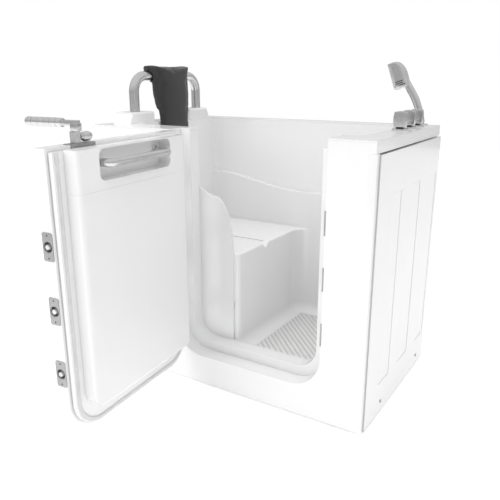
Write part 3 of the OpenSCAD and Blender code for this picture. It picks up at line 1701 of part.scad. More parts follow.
// Overflow fitting on the right wall, above the drain.
module overflow_body() {
  x = basin_right + wall;
  color(steel) placed() at(0, drain_y, overflow_height) difference() {
    union() {
      rod_x(basin_right - overflow_cover, basin_right, 0, 0, overflow_diameter);
      rod_x(basin_right, x + pipe_offset, 0, 0, waste_diameter - 2 * seat_gap);
      rod_z(x + pipe_offset, 0, -waste_diameter, waste_diameter / 2, waste_diameter);
    }
    rod_z(x + pipe_offset, 0, -waste_diameter - over, 0, waste_diameter - 2 * pipe_wall);
    rod_x(basin_right - overflow_cover - over, basin_right, 0, 0, stem_bore + 2 * running);
    for (a = [0:60:300]) rotate([a, 0, 0]) at(0, overflow_diameter * 2 / 5, 0)
      rod_x(basin_right - overflow_cover - over, basin_right - overflow_cover / 2, 0, 0, pipe_wall);
  }
}

// Pipe from the overflow down to the drain's branch.
module overflow_pipe() {
  x = basin_right + wall + pipe_offset;
  z = frame_height + tube_side + waste_diameter * 3 / 4;
  bend = waste_diameter * 3 / 4;
  color(plastic) placed() difference() {
    overflow_run(x, z, bend, waste_diameter, 0);
    overflow_run(x, z, bend, waste_diameter - 2 * pipe_wall, over);
  }
}

module overflow_run(x, z, bend, d, cut) {
  rod_z(x, drain_y, z + bend, overflow_height - waste_diameter + cut, d);
  rod_x(drain_x + waste_diameter - cut, x - bend, drain_y, z, d);
  at(x - bend, drain_y, z + bend) rotate([90, 0, 0]) rotate([0, 0, -90])
    rotate_extrude(angle = 90) at(bend, 0) circle(d = d);
}

// Knob on the overflow that works the drain plug.
module overflow_knob() {
  x = basin_right - overflow_cover - move_gap;
  color(chrome) placed() at(0, drain_y, overflow_height) {
    rod_x(x - knob_depth, x, 0, 0, overflow_diameter * 3 / 5);
    rod_x(x - over, basin_right - over, 0, 0, stem_bore);
    block(x - 2 * knob_depth, x - knob_depth, -pipe_wall, pipe_wall, -overflow_diameter / 4,
      overflow_diameter / 4);
  }
}

deck();
front_shell();
basin_well();
grip_bars();
side_panel();
panel_screws();
frame_uprights();
frame_long_rails();
frame_cross_rails();
levelling_feet();
foot_nuts();
head_rail();
rail_nuts();
headrest();
strike_plates();
strike_screws();
hinge_tub_leaves();
hinge_tub_screws();
hinge_pins();
drain_body();
overflow_body();
overflow_pipe();
tap_escutcheons();
valve_bodies();
valve_nuts();
filler_spout();
shower_cradle();
door_slab();
door_flange();
inner_panel();
panel_cap();
door_seal();
seal_block();
grab_bar();
bar_posts();
latch_plates();
latch_screws();
bolt_guides();
lever_plate();
lever_plate_screws();
lever_bearing();
hinge_door_leaves();
hinge_door_screws();
lever_arm();
lever_grip();
friction_knob();
latch_carrier();
latch_bolts();
hot_handle();
cold_handle();
diverter_handle();
hand_shower();
shower_face();
overflow_knob();
drain_plug();
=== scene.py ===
import contextlib
import json
import math

import bmesh
import bpy
from bpy.props import FloatProperty, FloatVectorProperty, IntProperty, PointerProperty
from mathutils import Matrix, Vector


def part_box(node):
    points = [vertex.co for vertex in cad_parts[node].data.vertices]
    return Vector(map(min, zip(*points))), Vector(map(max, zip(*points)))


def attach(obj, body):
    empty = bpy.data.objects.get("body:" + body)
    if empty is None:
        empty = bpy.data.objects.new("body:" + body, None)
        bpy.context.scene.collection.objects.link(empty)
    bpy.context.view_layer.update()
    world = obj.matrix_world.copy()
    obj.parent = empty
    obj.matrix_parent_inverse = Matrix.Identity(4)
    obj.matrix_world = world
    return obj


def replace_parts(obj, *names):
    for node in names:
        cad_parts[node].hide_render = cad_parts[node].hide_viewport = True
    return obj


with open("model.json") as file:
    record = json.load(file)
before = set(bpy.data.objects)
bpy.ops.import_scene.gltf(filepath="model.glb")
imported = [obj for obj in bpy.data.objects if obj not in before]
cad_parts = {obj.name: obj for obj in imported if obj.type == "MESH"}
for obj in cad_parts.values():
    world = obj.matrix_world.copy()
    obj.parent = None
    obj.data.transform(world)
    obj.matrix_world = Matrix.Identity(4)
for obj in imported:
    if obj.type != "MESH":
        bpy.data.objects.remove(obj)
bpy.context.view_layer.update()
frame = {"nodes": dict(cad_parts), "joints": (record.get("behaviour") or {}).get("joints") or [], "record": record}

bl_info = {
    "name": "Walk-in Bath Dressing",
    "version": (1, 0, 0),
    "blender": (4, 5, 0),
    "location": "3D View > Sidebar > Bath",
    "description": "Dresses the packed walk-in bath with its finishes, padding and small fittings",
    "category": "Object",
}

NODES = frame["nodes"]
JOINTS = {joint["name"]: joint for joint in frame["joints"]}
BODY_OF = {node: body for body, nodes in frame["record"]["behaviour"]["bodies"].items() for node in nodes}

# The photograph's viewpoint, in metres and degrees, with the lens for a 36 mm wide film.
CAMERA_PLACE = (1.132511, -1.929008, 1.137012)
CAMERA_PITCH = 16.6526
CAMERA_TURN = 31.9921
CAMERA_LENS = 41.4996

# The soft lights: name, place, target, side in metres and power in watts.
LIGHTS = (
    ("Key light", (-1.2, -3.4, 2.6), (0.0, -0.2, 0.6), 2.6, 46.0),
    ("Top light", (0.2, -0.2, 3.6), (0.1, 0.0, 0.5), 2.2, 35.0),
)

MOULDED = (
    "deck", "front_shell", "basin_well", "side_panel", "door_slab", "door_flange", "inner_panel",
    "panel_cap", "grip_bars",
)
BRIGHT = (
    "head_rail", "hinge_tub_leaves", "hinge_door_leaves", "tap_escutcheons", "filler_spout", "shower_cradle",
    "grab_bar", "bar_posts", "lever_bearing", "lever_arm", "lever_grip", "friction_knob", "hot_handle",
    "cold_handle", "diverter_handle", "hand_shower", "overflow_knob", "drain_plug", "latch_bolts",
)
SATIN = (
    "lever_plate", "strike_plates", "strike_screws", "latch_plates", "latch_screws", "lever_plate_screws",
    "hinge_tub_screws", "hinge_door_screws", "hinge_pins", "panel_screws", "latch_carrier",
)
ZINC = ("frame_uprights", "frame_long_rails", "frame_cross_rails", "foot_nuts", "rail_nuts")
BRASS = ("valve_bodies", "valve_nuts", "drain_body", "overflow_body")
DARK = ("bolt_guides", "shower_face")
RUBBER = ("levelling_feet",)
HANDLES = ("hot_handle", "cold_handle", "diverter_handle")

# The door's turn from the closed doorway to the rest pose, in degrees.
DOOR_OPEN = -JOINTS["door_swing"]["range_deg"][1]
# Room left between faces that would otherwise lie on each other, in metres.
HAIR = 0.0004

# Directions: to the right, away from the front and upward.
SIDEWAYS, BACKWARD, UP = Vector((1, 0, 0)), Vector((0, 1, 0)), Vector((0, 0, 1))

# The hand shower's head: its middle in metres and its lean in degrees.
HEAD_TURN = Matrix.Translation((0.40431, 0.3055, 1.14623)) @ Matrix.Rotation(math.radians(-20.0), 4, "Y")
# How square the head is seen from its face: 2 is an ellipse.
HEAD_SQUARENESS = 16.0
# The head's outline at each depth from its middle: depth, foot, top and half width. The first two rows
# are the recess of the face plate.
HEAD_ROWS = (
    (-0.021, -0.0457, 0.0457, 0.0247), (-0.025, -0.0457, 0.0457, 0.0247), (-0.025, -0.0486, 0.0506, 0.0276),
    (-0.0244, -0.049, 0.0502, 0.028), (-0.005, -0.049, 0.0508, 0.028), (0.006, -0.049, 0.0485, 0.028),
    (0.011, -0.049, 0.0435, 0.0275), (0.0145, -0.049, 0.038, 0.027), (0.0185, -0.0485, 0.0315, 0.026),
    (0.022, -0.048, 0.0235, 0.024), (0.0255, -0.047, 0.014, 0.02), (0.0277, -0.046, 0.006, 0.015),
    (0.029, -0.044, -0.006, 0.009),
)
# The wand's middle line from its spigot to the head's back: forward and up from the cradle's mouth, and half
# its thickness.
WAND_MOUTH = (0.5045, 0.3055, 0.97)
WAND_ROWS = (
    (0.008, -0.0247, 0.008), (0.0009, -0.0028, 0.008), (-0.0012, 0.0037, 0.008), (-0.0013, 0.004, 0.0108),
    (-0.008, 0.025, 0.0125), (-0.0135, 0.043, 0.0135), (-0.0235, 0.067, 0.0142), (-0.0325, 0.088, 0.0145),
    (-0.0445, 0.108, 0.0145), (-0.0565, 0.126, 0.0145), (-0.0665, 0.142, 0.0138), (-0.075, 0.157, 0.0132),
    (-0.082, 0.172, 0.0125), (-0.088, 0.185, 0.011), (-0.092, 0.195, 0.007),
)
WAND_SQUARENESS = 2.4
# The wand's width as a share of its thickness.
WAND_WIDTH = 0.92
# Rows of the wand that its two parting lines follow, and how far to the front they lie, as a share.
SEAM_LINES = ((5, 10, -0.62), (5, 7, 0.05))
# How far the parting lines and the head's slots stand proud, and how deep the slots go, in metres.
PROUD = 0.0006
SLOT_DEPTH = 0.002
# Profile of the friction knob: distance from the bearing as a share of its length, and radius as a share.
KNOB_SHARES = ((0, 0.62), (0.15, 0.62), (0.17, 0.75), (0.26, 0.93), (0.4, 0.99), (0.6, 1.0), (0.74, 0.93),
               (0.87, 0.76), (0.96, 0.5), (1.0, 0.22))
# The three dark slots in the head's side: height along the head, and both ends across it from its middle.
HEAD_SLOTS = ((-0.0385, -0.003, 0.02), (-0.0315, -0.015, 0.013), (-0.0245, -0.015, 0.015))
# A tap handle's neck against the handle's half thickness, as a share.
NECK_SHARE = 0.9
# Share of the headrest's wedge that is there at the step over the deck.
WEDGE_START = 0.25
# Frames that the cloth runs while the headrest's cover fills.
FILL_FRAMES = 20


def size_of(name, description, default, low, high):
    """A length in metres that a user may change."""
    return FloatProperty(name=name, description=description, default=default, min=low, max=high,
                         unit="LENGTH")


def number_of(name, description, default, low, high):
    """A count, a share or a pressure that a user may change."""
    kind = IntProperty if isinstance(default, int) else FloatProperty
    return kind(name=name, description=description, default=default, min=low, max=high)


def colour_of(name, description, default):
    """A colour that a user may change, from its red, green and blue."""
    return FloatVectorProperty(name=name, description=description, subtype="COLOR", size=4, min=0.0, max=1.0,
                               default=default + (1.0,))


class BathSizes(bpy.types.PropertyGroup):
    """Sizes of the pieces that are made here."""

    pad_voxel: size_of("Pad mesh", "Side of the headrest's mesh cells", 0.005, 0.003, 0.01)
    pad_shrink: size_of("Pad shrink", "How far the cover starts inside the foam", 0.003, 0.0, 0.01)
    pad_swell: size_of("Pad swell", "Most that a point of the cover may move as it fills", 0.005, 0.0, 0.03)
    pad_pressure: number_of("Pad pressure", "Pressure inside the headrest's cover", 4.0, 0.0, 20.0)
    pad_wedge: size_of("Pad wedge", "How far the pad's back reaches under the rail", 0.036, 0.0, 0.04)
    pad_step: number_of("Pad step", "Where the wedge starts between the deck and the rail", 0.05, 0.0, 0.5)
    pad_rear: number_of("Pad rear", "Share of the pad's thickness that the wedge moves", 0.35, 0.2, 1.0)
    pad_widen: number_of("Pad foot", "How much wider the pad's foot is, as a share", 0.13, 0.0, 0.2)
    pad_clear: size_of("Rail clearance", "Room between the cover and the rail's axis", 0.0203, 0.019, 0.03)
    corner_return: size_of("Corner return", "How far the front wraps round the corner", 0.0175, 0.008, 0.03)
    panel_seam: size_of("Panel seam", "Gap between the front's return and the side", 0.002, 0.001, 0.005)
    panel_sheet: size_of("Panel sheet", "Thickness of the side panel's sheet", 0.004, 0.002, 0.006)
    bay_ease: size_of("Bay ease", "How much shallower the bays are than in the CAD", 0.0016, 0.0, 0.002)
    metal_edge: size_of("Metal edge", "Radius of the fittings' edges", 0.0012, 0.0002, 0.004)
    handle_bulge: number_of("Handle bulge", "How far a handle's ends draw in, as a share", 0.12, 0.0, 0.3)
    handle_crown: size_of("Handle crown", "How far a handle's top falls to its sides", 0.003, 0.0, 0.006)
    handle_edge: size_of("Handle edge", "Radius of the handles' edges", 0.0018, 0.001, 0.006)
    handle_neck: size_of("Handle neck", "Height of the neck under a handle", 0.0028, 0.002, 0.01)
    bar_bend: size_of("Bar bend", "Radius of the grab bar's two bends", 0.022, 0.018, 0.03)
    bar_foot: size_of("Bar foot", "Radius of the grab bar's rosettes", 0.018, 0.014, 0.02)
    post_foot: size_of("Post foot", "Radius of the foot of a CAD post", 0.014, 0.01, 0.02)
    grip_start: size_of("Grip start", "From the spindle to the lever's grip", 0.04, 0.03, 0.06)
    grip_reach: size_of("Grip length", "Length of the lever's grip", 0.134, 0.1, 0.15)
    grip_rings: number_of("Grip rings", "Rings on the lever's grip", 5, 3, 8)
    mark_length: size_of("Screw mark", "Length of a screw's cross", 0.0062, 0.003, 0.008)
    slot_width: size_of("Shower slot", "Width of a slot in the shower's head", 0.0032, 0.001, 0.006)
    dot_diameter: size_of("Grip dot", "Diameter of a dot on the floor's bars", 0.0042, 0.002, 0.008)
    dot_height: size_of("Grip dot height", "Height of a dot above its bar", 0.0009, 0.0003, 0.002)
    dot_pitch: size_of("Grip dot spacing", "Distance from dot to dot along a bar", 0.0085, 0.005, 0.02)
    # The strips are painted shade in the gaps between the grip bars.
    gap_share: number_of("Gap share", "How far the tinted strips pass the bars, as a share", 0.3, 0.1, 0.5)
    gap_height_share: number_of("Strip height", "Height of a tinted strip against a bar's", 0.15, 0.05, 0.5)
    dot_rows: number_of("Grip dot rows", "Rows of dots on each bar", 2, 1, 4)


class BathColours(bpy.types.PropertyGroup):
    """Colours of the finishes."""

    acrylic: colour_of("Acrylic", "Gloss white of the mouldings", (0.88, 0.88, 0.88))
    # Painted shade: this darker acrylic between the grip bars and in the corner's seam stands for the shade in
    # those gaps.
    shade_painted: colour_of("Shade-painted acrylic", "Shaded floor between the grip bars", (0.58, 0.58, 0.58))
    chrome: colour_of("Chrome", "Bright metal of the fittings", (0.68, 0.68, 0.685))
    satin: colour_of("Satin steel", "Brushed steel of the plates", (0.385, 0.385, 0.39))
    zinc: colour_of("Zinc", "Galvanised frame tube", (0.5, 0.52, 0.54))
    brass: colour_of("Brass", "Hidden valve bodies", (0.55, 0.42, 0.2))
    vinyl: colour_of("Vinyl", "Cover of the headrest", (0.028, 0.028, 0.03))
    # Besides the real dark plastic, this colour is painted shade under the tap handles and in the screws' cross
    # recesses.
    dark: colour_of("Dark plastic and painted shade", "Shower face and bolt guides", (0.03, 0.03, 0.032))
    seal: colour_of("Seal", "Silicone of the door seal", (0.74, 0.74, 0.74))
    pipe: colour_of("Pipe", "Waste pipe", (0.6, 0.6, 0.6))


def node(tree, kind, **settings):
    """A new shader node with its settings and the default values of its inputs, which start with in_."""
    made = tree.nodes.new("ShaderNode" + kind)
    for name, value in settings.items():
        if name.startswith("in_"):
            made.inputs[name[3:].replace("_", " ")].default_value = value
        else:
            setattr(made, name, value)
    return made


def wire(source, output, target, socket):
    """Links an output of one shader node to an input of another."""
    source.id_data.links.new(source.outputs[output], target.inputs[socket])


def shader_group(name, inputs, outputs):
    """An empty node group with named sockets, and its two end nodes."""
    tree = bpy.data.node_groups.new(name, "ShaderNodeTree")
    for label, kind, value in inputs:
        socket = tree.interface.new_socket(name=label, in_out="INPUT", socket_type="NodeSocket" + kind)
        socket.default_value = value
    for label, kind in outputs:
        tree.interface.new_socket(name=label, in_out="OUTPUT", socket_type="NodeSocket" + kind)
    return tree, tree.nodes.new("NodeGroupInput"), tree.nodes.new("NodeGroupOutput")


def mottle_group():
    """Broad soft patches and fine ripple of a sprayed or moulded skin."""
    tree, given, out = shader_group(
        "Mottle",
        [("Patch Scale", "Float", 5.0), ("Ripple Scale", "Float", 120.0)],
        [("Patch", "Float"), ("Ripple", "Float")],
    )
    place = node(tree, "TexCoord")
    for label, detail in (("Patch", 4.0), ("Ripple", 2.0)):
        noise = node(tree, "TexNoise", in_Detail=detail, in_Roughness=0.55)
        spread = node(tree, "MapRange", in_From_Min=0.3, in_From_Max=0.7)
        wire(place, "Object", noise, "Vector")
        wire(given, label + " Scale", noise, "Scale")
        wire(noise, "Fac", spread, "Value")
        wire(spread, "Result", out, label)
    return tree


def brush_group():
    """Fine polishing lines that run one way, and smudges across them."""
    tree, given, out = shader_group(
        "Brush Lines",
        [("Line Stretch", "Vector", (900.0, 900.0, 14.0)),
         ("Smudge Scale", "Float", 22.0)],
        [("Lines", "Float"), ("Smudge", "Float")],
    )
    place = node(tree, "TexCoord")
    stretch = node(tree, "VectorMath", operation="MULTIPLY")
    lines = node(tree, "TexNoise", in_Scale=1.0, in_Detail=3.0)
    smudge = node(tree, "TexNoise", in_Detail=5.0, in_Roughness=0.65)
    spread = node(tree, "MapRange", in_From_Min=0.35, in_From_Max=0.7)
    wire(place, "Object", stretch, 0)
    wire(given, "Line Stretch", stretch, 1)
    wire(stretch, "Vector", lines, "Vector")
    wire(place, "Object", smudge, "Vector")
    wire(given, "Smudge Scale", smudge, "Scale")
    wire(lines, "Fac", out, "Lines")
    wire(smudge, "Fac", spread, "Value")
    wire(spread, "Result", out, "Smudge")
    return tree


def grain_group():
    """Pebbled grain of vinyl and rubber, with its creases."""
    tree, given, out = shader_group(
        "Pebble Grain",
        [("Pebble Scale", "Float", 420.0)],
        [("Height", "Float"), ("Crease", "Float")],
    )
    place = node(tree, "TexCoord")
    warp = node(tree, "TexNoise", in_Scale=90.0, in_Detail=3.0)
    shift = node(tree, "VectorMath", operation="MULTIPLY_ADD")
    shift.inputs[1].default_value = (0.004, 0.004, 0.004)
    cells = node(tree, "TexVoronoi", feature="DISTANCE_TO_EDGE")
    crease = node(tree, "MapRange", in_From_Max=0.12, in_To_Min=1.0, in_To_Max=0.0)
    height = node(tree, "MapRange", in_From_Max=0.3)
    wire(place, "Object", warp, "Vector")
    wire(warp, "Color", shift, 0)
    wire(place, "Object", shift, 2)
    wire(shift, "Vector", cells, "Vector")
    wire(given, "Pebble Scale", cells, "Scale")
    wire(cells, "Distance", crease, "Value")
    wire(cells, "Distance", height, "Value")
    wire(height, "Result", out, "Height")
    wire(crease, "Result", out, "Crease")
    return tree


def edge_group():
    """Rounded normals at sharp edges, and where those edges are, for wear."""
    tree, given, out = shader_group(
        "Worn Edges",
        [("Radius", "Float", 0.001), ("Break Up", "Float", 60.0)],
        [("Normal", "Vector"), ("Edge", "Float")],
    )
    place = node(tree, "TexCoord")
    rounded = node(tree, "Bevel", samples=4)
    flat = node(tree, "NewGeometry")
    agree = node(tree, "VectorMath", operation="DOT_PRODUCT")
    turned = node(tree, "MapRange", in_From_Min=0.98, in_From_Max=0.8)
    noise = node(tree, "TexNoise", in_Detail=4.0)
    broken = node(tree, "Math", operation="MULTIPLY")
    wire(given, "Radius", rounded, "Radius")
    wire(rounded, "Normal", agree, 0)
    wire(flat, "Normal", agree, 1)
    wire(agree, "Value", turned, "Value")
    wire(place, "Object", noise, "Vector")
    wire(given, "Break Up", noise, "Scale")
    wire(turned, "Result", broken, 0)
    wire(noise, "Fac", broken, 1)
    wire(rounded, "Normal", out, "Normal")
    wire(broken, "Value", out, "Edge")
    return tree


def placed_group(tree, maker, name, **values):
    """A shared group, made when it is first asked for, placed in a material with its own values."""
    made = tree.nodes.new("ShaderNodeGroup")
    made.node_tree = bpy.data.node_groups.get(name) or maker()
    for label, value in values.items():
        made.inputs[label.replace("_", " ")].default_value = value
    return made


def material(name, **sockets):
    """A new material, its tree and its Principled shader with constant sockets set."""
    made = bpy.data.materials.new(name)
    made.use_nodes = True
    shader = made.node_tree.nodes["Principled BSDF"]
    for label, value in sockets.items():
        shader.inputs[label.replace("_", " ")].default_value = value
    return made, made.node_tree, shader


def tint(tree, mask, base, other):
    """A colour that goes from base to other as the mask rises."""
    mix = node(tree, "Mix", data_type="RGBA")
    mix.inputs[6].default_value = base
    mix.inputs[7].default_value = other
    tree.links.new(mask, mix.inputs[0])
    return mix.outputs[2]


def roughened(shader, mask, low, high):
    """Lets the shader's roughness go from low to high as the mask rises."""
    tree = shader.id_data
    spread = node(tree, "MapRange", in_To_Min=low, in_To_Max=high)
    tree.links.new(mask, spread.inputs["Value"])
    wire(spread, "Result", shader, "Roughness")


def topped(shader, base, mask, colour, blend="MIX"):
    """Lays a colour over the base where the mask is high, as the shader's base colour."""
    tree = shader.id_data
    mix = node(tree, "Mix", data_type="RGBA", blend_type=blend)
    mix.inputs[7].default_value = colour
    tree.links.new(mask, mix.inputs[0])
    tree.links.new(base, mix.inputs[6])
    wire(mix, 2, shader, "Base Color")


def bumped(shader, height, strength, distance, normal=None):
    """Feeds a bump into the shader's normal, over a rounded normal where one is given."""
    tree = shader.id_data
    bump = node(tree, "Bump", in_Strength=strength, in_Distance=distance)
    tree.links.new(height, bump.inputs["Height"])
    if normal is not None:
        tree.links.new(normal, bump.inputs["Normal"])
    wire(bump, "Normal", shader, "Normal")


def darker(colour, share):
    """The colour with its three channels multiplied by a share."""
    return (colour[0] * share, colour[1] * share, colour[2] * share, 1.0)


def gloss_moulding(name, colour, edge):
    """Gloss acrylic: faint mottling, orange peel and soft edges."""
    made, tree, shader = material(name, Specular_IOR_Level=0.5, Coat_Weight=0.35, Coat_Roughness=0.06)
    skin = placed_group(tree, mottle_group, "Mottle", Patch_Scale=3.5, Ripple_Scale=95.0)
    edges = placed_group(tree, edge_group, "Worn Edges", Radius=edge, Break_Up=30.0)
    base = tint(tree, skin.outputs["Patch"], colour, darker(colour, 0.985))
    tree.links.new(base, shader.inputs["Base Color"])
    roughened(shader, skin.outputs["Patch"], 0.16, 0.24)
    bumped(shader, skin.outputs["Ripple"], 0.03, 0.001, edges.outputs["Normal"])
    return made


def metal(name, colour, low, high, stretch, edge, wear=0.35, lines=0.04):
    """Polished or brushed metal with lines, smudges and brighter rubbed edges."""
    made, tree, shader = material(name, Metallic=1.0)
    brush = placed_group(tree, brush_group, "Brush Lines", Line_Stretch=stretch)
    edges = placed_group(tree, edge_group, "Worn Edges", Radius=edge, Break_Up=120.0)
    base = tint(tree, brush.outputs["Smudge"], colour, darker(colour, 0.9))
    topped(shader, base, edges.outputs["Edge"], (wear, wear, wear, 1.0), "ADD")
    roughened(shader, brush.outputs["Smudge"], low, high)
    bumped(shader, brush.outputs["Lines"], lines, 0.0005, edges.outputs["Normal"])
    return made


def pebbled(name, colour, scale, roughness, strength):
    """Grained vinyl or rubber with darker creases."""
    made, tree, shader = material(name, Specular_IOR_Level=0.4, Sheen_Weight=0.15)
    grain = placed_group(tree, grain_group, "Pebble Grain", Pebble_Scale=scale)
    skin = placed_group(tree, mottle_group, "Mottle", Patch_Scale=18.0)
    base = tint(tree, skin.outputs["Patch"], colour, darker(colour, 1.35))
    topped(shader, base, grain.outputs["Crease"], darker(colour, 0.55))
    roughened(shader, skin.outputs["Patch"], roughness - 0.06, roughness + 0.06)
    bumped(shader, grain.outputs["Height"], strength, 0.0004)
    return made


def plain_plastic(name, colour, roughness, edge=0.0006):
    """Moulded plastic with a fine spark-eroded texture."""
    made, tree, shader = material(name, Specular_IOR_Level=0.45)
    skin = placed_group(tree, mottle_group, "Mottle", Patch_Scale=30.0, Ripple_Scale=900.0)
    edges = placed_group(tree, edge_group, "Worn Edges", Radius=edge, Break_Up=200.0)
    base = tint(tree, skin.outputs["Patch"], colour, darker(colour, 0.9))
    rubbed = tuple(min(1.0, c * 1.5 + 0.03) for c in colour[:3]) + (1.0,)
    topped(shader, base, edges.outputs["Edge"], rubbed)
    roughened(shader, skin.outputs["Ripple"], roughness - 0.05, roughness + 0.05)
    bumped(shader, skin.outputs["Ripple"], 0.08, 0.0004, edges.outputs["Normal"])
    return made


def dress(names, finish):
    """Puts a finish in each material slot of the CAD nodes."""
    for name in names:
        for place in NODES[name].material_slots:
            place.material = finish


def select_only(piece):
    """Leaves one object selected and active."""
    for other in bpy.context.selected_objects:
        other.select_set(False)
    bpy.context.view_layer.objects.active = piece
    piece.select_set(True)


@contextlib.contextmanager
def editing(piece):
    """Opens a piece in edit mode with all of it selected."""
    select_only(piece)
    bpy.ops.object.mode_set(mode="EDIT")
    bpy.ops.mesh.select_all(action="SELECT")
    yield
    bpy.ops.object.mode_set(mode="OBJECT")


def apply_modifier(piece, kind, **settings):
    """Adds a modifier with its settings and applies it."""
    select_only(piece)
    bpy.ops.object.modifier_add(type=kind)
    added = piece.modifiers[-1]
    for name, value in settings.items():
        setattr(added, name, value)
    bpy.ops.object.modifier_apply(modifier=added.name)


def bevelled(piece, width, segments=2, angle=30.0):
    """Rounds the edges of a piece that turn by more than an angle."""
    apply_modifier(piece, "BEVEL", width=width, segments=segments, limit_method="ANGLE",
                   angle_limit=math.radians(angle))


def placed(name, data):
    """A new object of the scene for a mesh, a lamp or a camera."""
    made = bpy.data.objects.new(name, data)
    bpy.context.scene.collection.objects.link(made)
    return made


def merged_copy(name, new_name):
    """A copy of a CAD node with its loose triangles joined into a closed surface of flat faces."""
    shape = NODES[name].data.copy()
    work = bmesh.new()
    work.from_mesh(shape)
    bmesh.ops.remove_doubles(work, verts=work.verts, dist=1e-6)
    bmesh.ops.dissolve_limit(work, angle_limit=math.radians(0.4), verts=work.verts, edges=work.edges)
    work.to_mesh(shape)
    work.free()
    shape.name = new_name
    return placed(new_name, shape)


def box_mesh(name, low, high, cuts=0):
    """A new box between two corners, cut into cells, with its origin on the world's."""
    bpy.ops.mesh.primitive_cube_add(size=1)
    made = bpy.context.object
    made.name = name
    if cuts:
        with editing(made):
            bpy.ops.mesh.subdivide(number_cuts=cuts)
    low, high = Vector(low), Vector(high)
    for vertex in made.data.vertices:
        vertex.co = [low[i] + (vertex.co[i] + 0.5) * (high[i] - low[i]) for i in range(3)]
    return made


def lofted(name, sections, around=32, ripples=0, ripple_share=0.0):
    """A closed skin over rings, each given by its middle, its two half axes and its squareness from 2 up."""
    rings = len(sections)
    bpy.ops.mesh.primitive_uv_sphere_add(segments=around, ring_count=rings + 1, radius=1)
    made = bpy.context.object
    made.name = name
    for vertex in made.data.vertices:
        fall = math.acos(max(-1.0, min(1.0, vertex.co.z))) / math.pi
        ring = round(fall * (rings + 1))
        middle, half_u, half_v, squareness = sections[min(max(ring, 1), rings) - 1]
        if ring in (0, rings + 1):
            vertex.co = middle
            continue
        turn = math.atan2(vertex.co.y, vertex.co.x)
        swell = 1 + ripple_share * math.cos(ripples * turn)
        across, along = (math.copysign(abs(part) ** (2 / squareness), part)
                         for part in (math.cos(turn), math.sin(turn)))
        vertex.co = middle + (half_u * across + half_v * along) * swell
    with editing(made):
        bpy.ops.mesh.normals_make_consistent(inside=False)
    return made


def swept(name, points, halves, side, width=1.0, squareness=2.0, **settings):
    """A skin along a flat line, with half its thickness at each point and its width as a share of that."""
    sections = []
    for i, point in enumerate(points):
        ahead = points[min(i + 1, len(points) - 1)] - points[max(i - 1, 0)]
        across = ahead.cross(side).normalized()
        sections.append((point, across * halves[i], side * (halves[i] * width), squareness))
    return lofted(name, sections, **settings)


def door_turn():
    """Carries a point of the closed door to its place in the rest pose."""
    hinge = Matrix.Translation(JOINTS["door_swing"]["pos_m"])
    return hinge @ Matrix.Rotation(math.radians(DOOR_OPEN), 4, "Z") @ hinge.inverted()


def closed_points(points):
    """Places in the rest pose, carried back into the closed doorway."""
    back = door_turn().inverted()
    return [back @ point for point in points]


def corners_of(points):
    """The lowest and the highest corner of the box round some points."""
    return [Vector([pick(p[i] for p in points) for i in range(3)]) for pick in (min, max)]


def closed_box(name):
    """Two corners of the box that a node of the door fills in the closed doorway."""
    return corners_of(closed_points([v.co for v in NODES[name].data.vertices]))


def span_along(points, way):
    """The least and the most that some points reach in a direction."""
    reaches = [p.dot(way) for p in points]
    return min(reaches), max(reaches)


def on_door(pieces, name, finish, carrier, angle=40.0):
    """Joins pieces that were modelled in the closed doorway and swings them open with the door."""
    piece = joined(pieces, name)
    piece.data.transform(door_turn())
    finished(piece, finish, carrier, angle)
    return piece


def islands_of(piece):
    """The corner points of each loose solid in a mesh."""
    work = bmesh.new()
    work.from_mesh(piece.data)
    left, found = set(work.verts), []
    while left:
        todo, island = [left.pop()], []
        while todo:
            point = todo.pop()
            island.append(point.co.copy())
            for edge in point.link_edges:
                other = edge.other_vert(point)
                if other in left:
                    left.remove(other)
                    todo.append(other)
        found.append(island)
    work.free()
    return found


def joined(pieces, name):
    """Joins loose pieces into the first of them."""
    select_only(pieces[0])
    for piece in pieces[1:]:
        piece.select_set(True)
    bpy.ops.object.join()
    pieces[0].name = name
    return pieces[0]


def dressed(piece, finish, carrier, angle=30.0):
    """Smooths a piece, gives it its finish and lets it ride with a CAD node."""
    select_only(piece)
    bpy.ops.object.shade_smooth_by_angle(angle=math.radians(angle))
    piece.data.materials.clear()
    piece.data.materials.append(bpy.data.materials[finish])
    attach(piece, BODY_OF[carrier])


def finished(piece, finish, carrier, angle=30.0):
    """Dresses a piece."""
    dressed(piece, finish, carrier, angle)


class BATH_OT_finishes(bpy.types.Operator):
    """Make every finish and put it on the CAD nodes that stay"""

    bl_idname = "bath.finishes"
    bl_label = "Finishes"

    def execute(self, context):
        colours = context.scene.bath_colours
        dress(MOULDED, gloss_moulding("Gloss acrylic", colours.acrylic, 0.0025))
        dress(BRIGHT, metal("Chrome", colours.chrome, 0.2, 0.3, (500.0, 500.0, 30.0), 0.0008))
        dress(SATIN, metal("Satin steel", colours.satin, 0.24, 0.36, (900.0, 900.0, 20.0), 0.0005,
                           lines=0.12))
        dress(ZINC, metal("Zinc coat", colours.zinc, 0.38, 0.6, (90.0, 90.0, 90.0), 0.001, wear=0.2,
                          lines=0.1))
        dress(BRASS, metal("Valve brass", colours.brass, 0.3, 0.42, (200.0, 200.0, 200.0), 0.001, wear=0.2))
        dress(DARK, plain_plastic("Dark plastic and painted shade", colours.dark, 0.42))
        dress(RUBBER, pebbled("Black rubber", colours.dark, 700.0, 0.7, 0.2))
        dress(("overflow_pipe",), plain_plastic("Waste pipe", colours.pipe, 0.35))
        dress(("door_seal", "seal_block"), plain_plastic("Seal silicone", colours.seal, 0.5))
        # Painted shade for the gaps between the grip bars and for the corner's seam.
        gloss_moulding("Shade-painted acrylic", colours.shade_painted, 0.0005)
        pebbled("Headrest vinyl", colours.vinyl, 520.0, 0.42, 0.35)
        return {"FINISHED"}


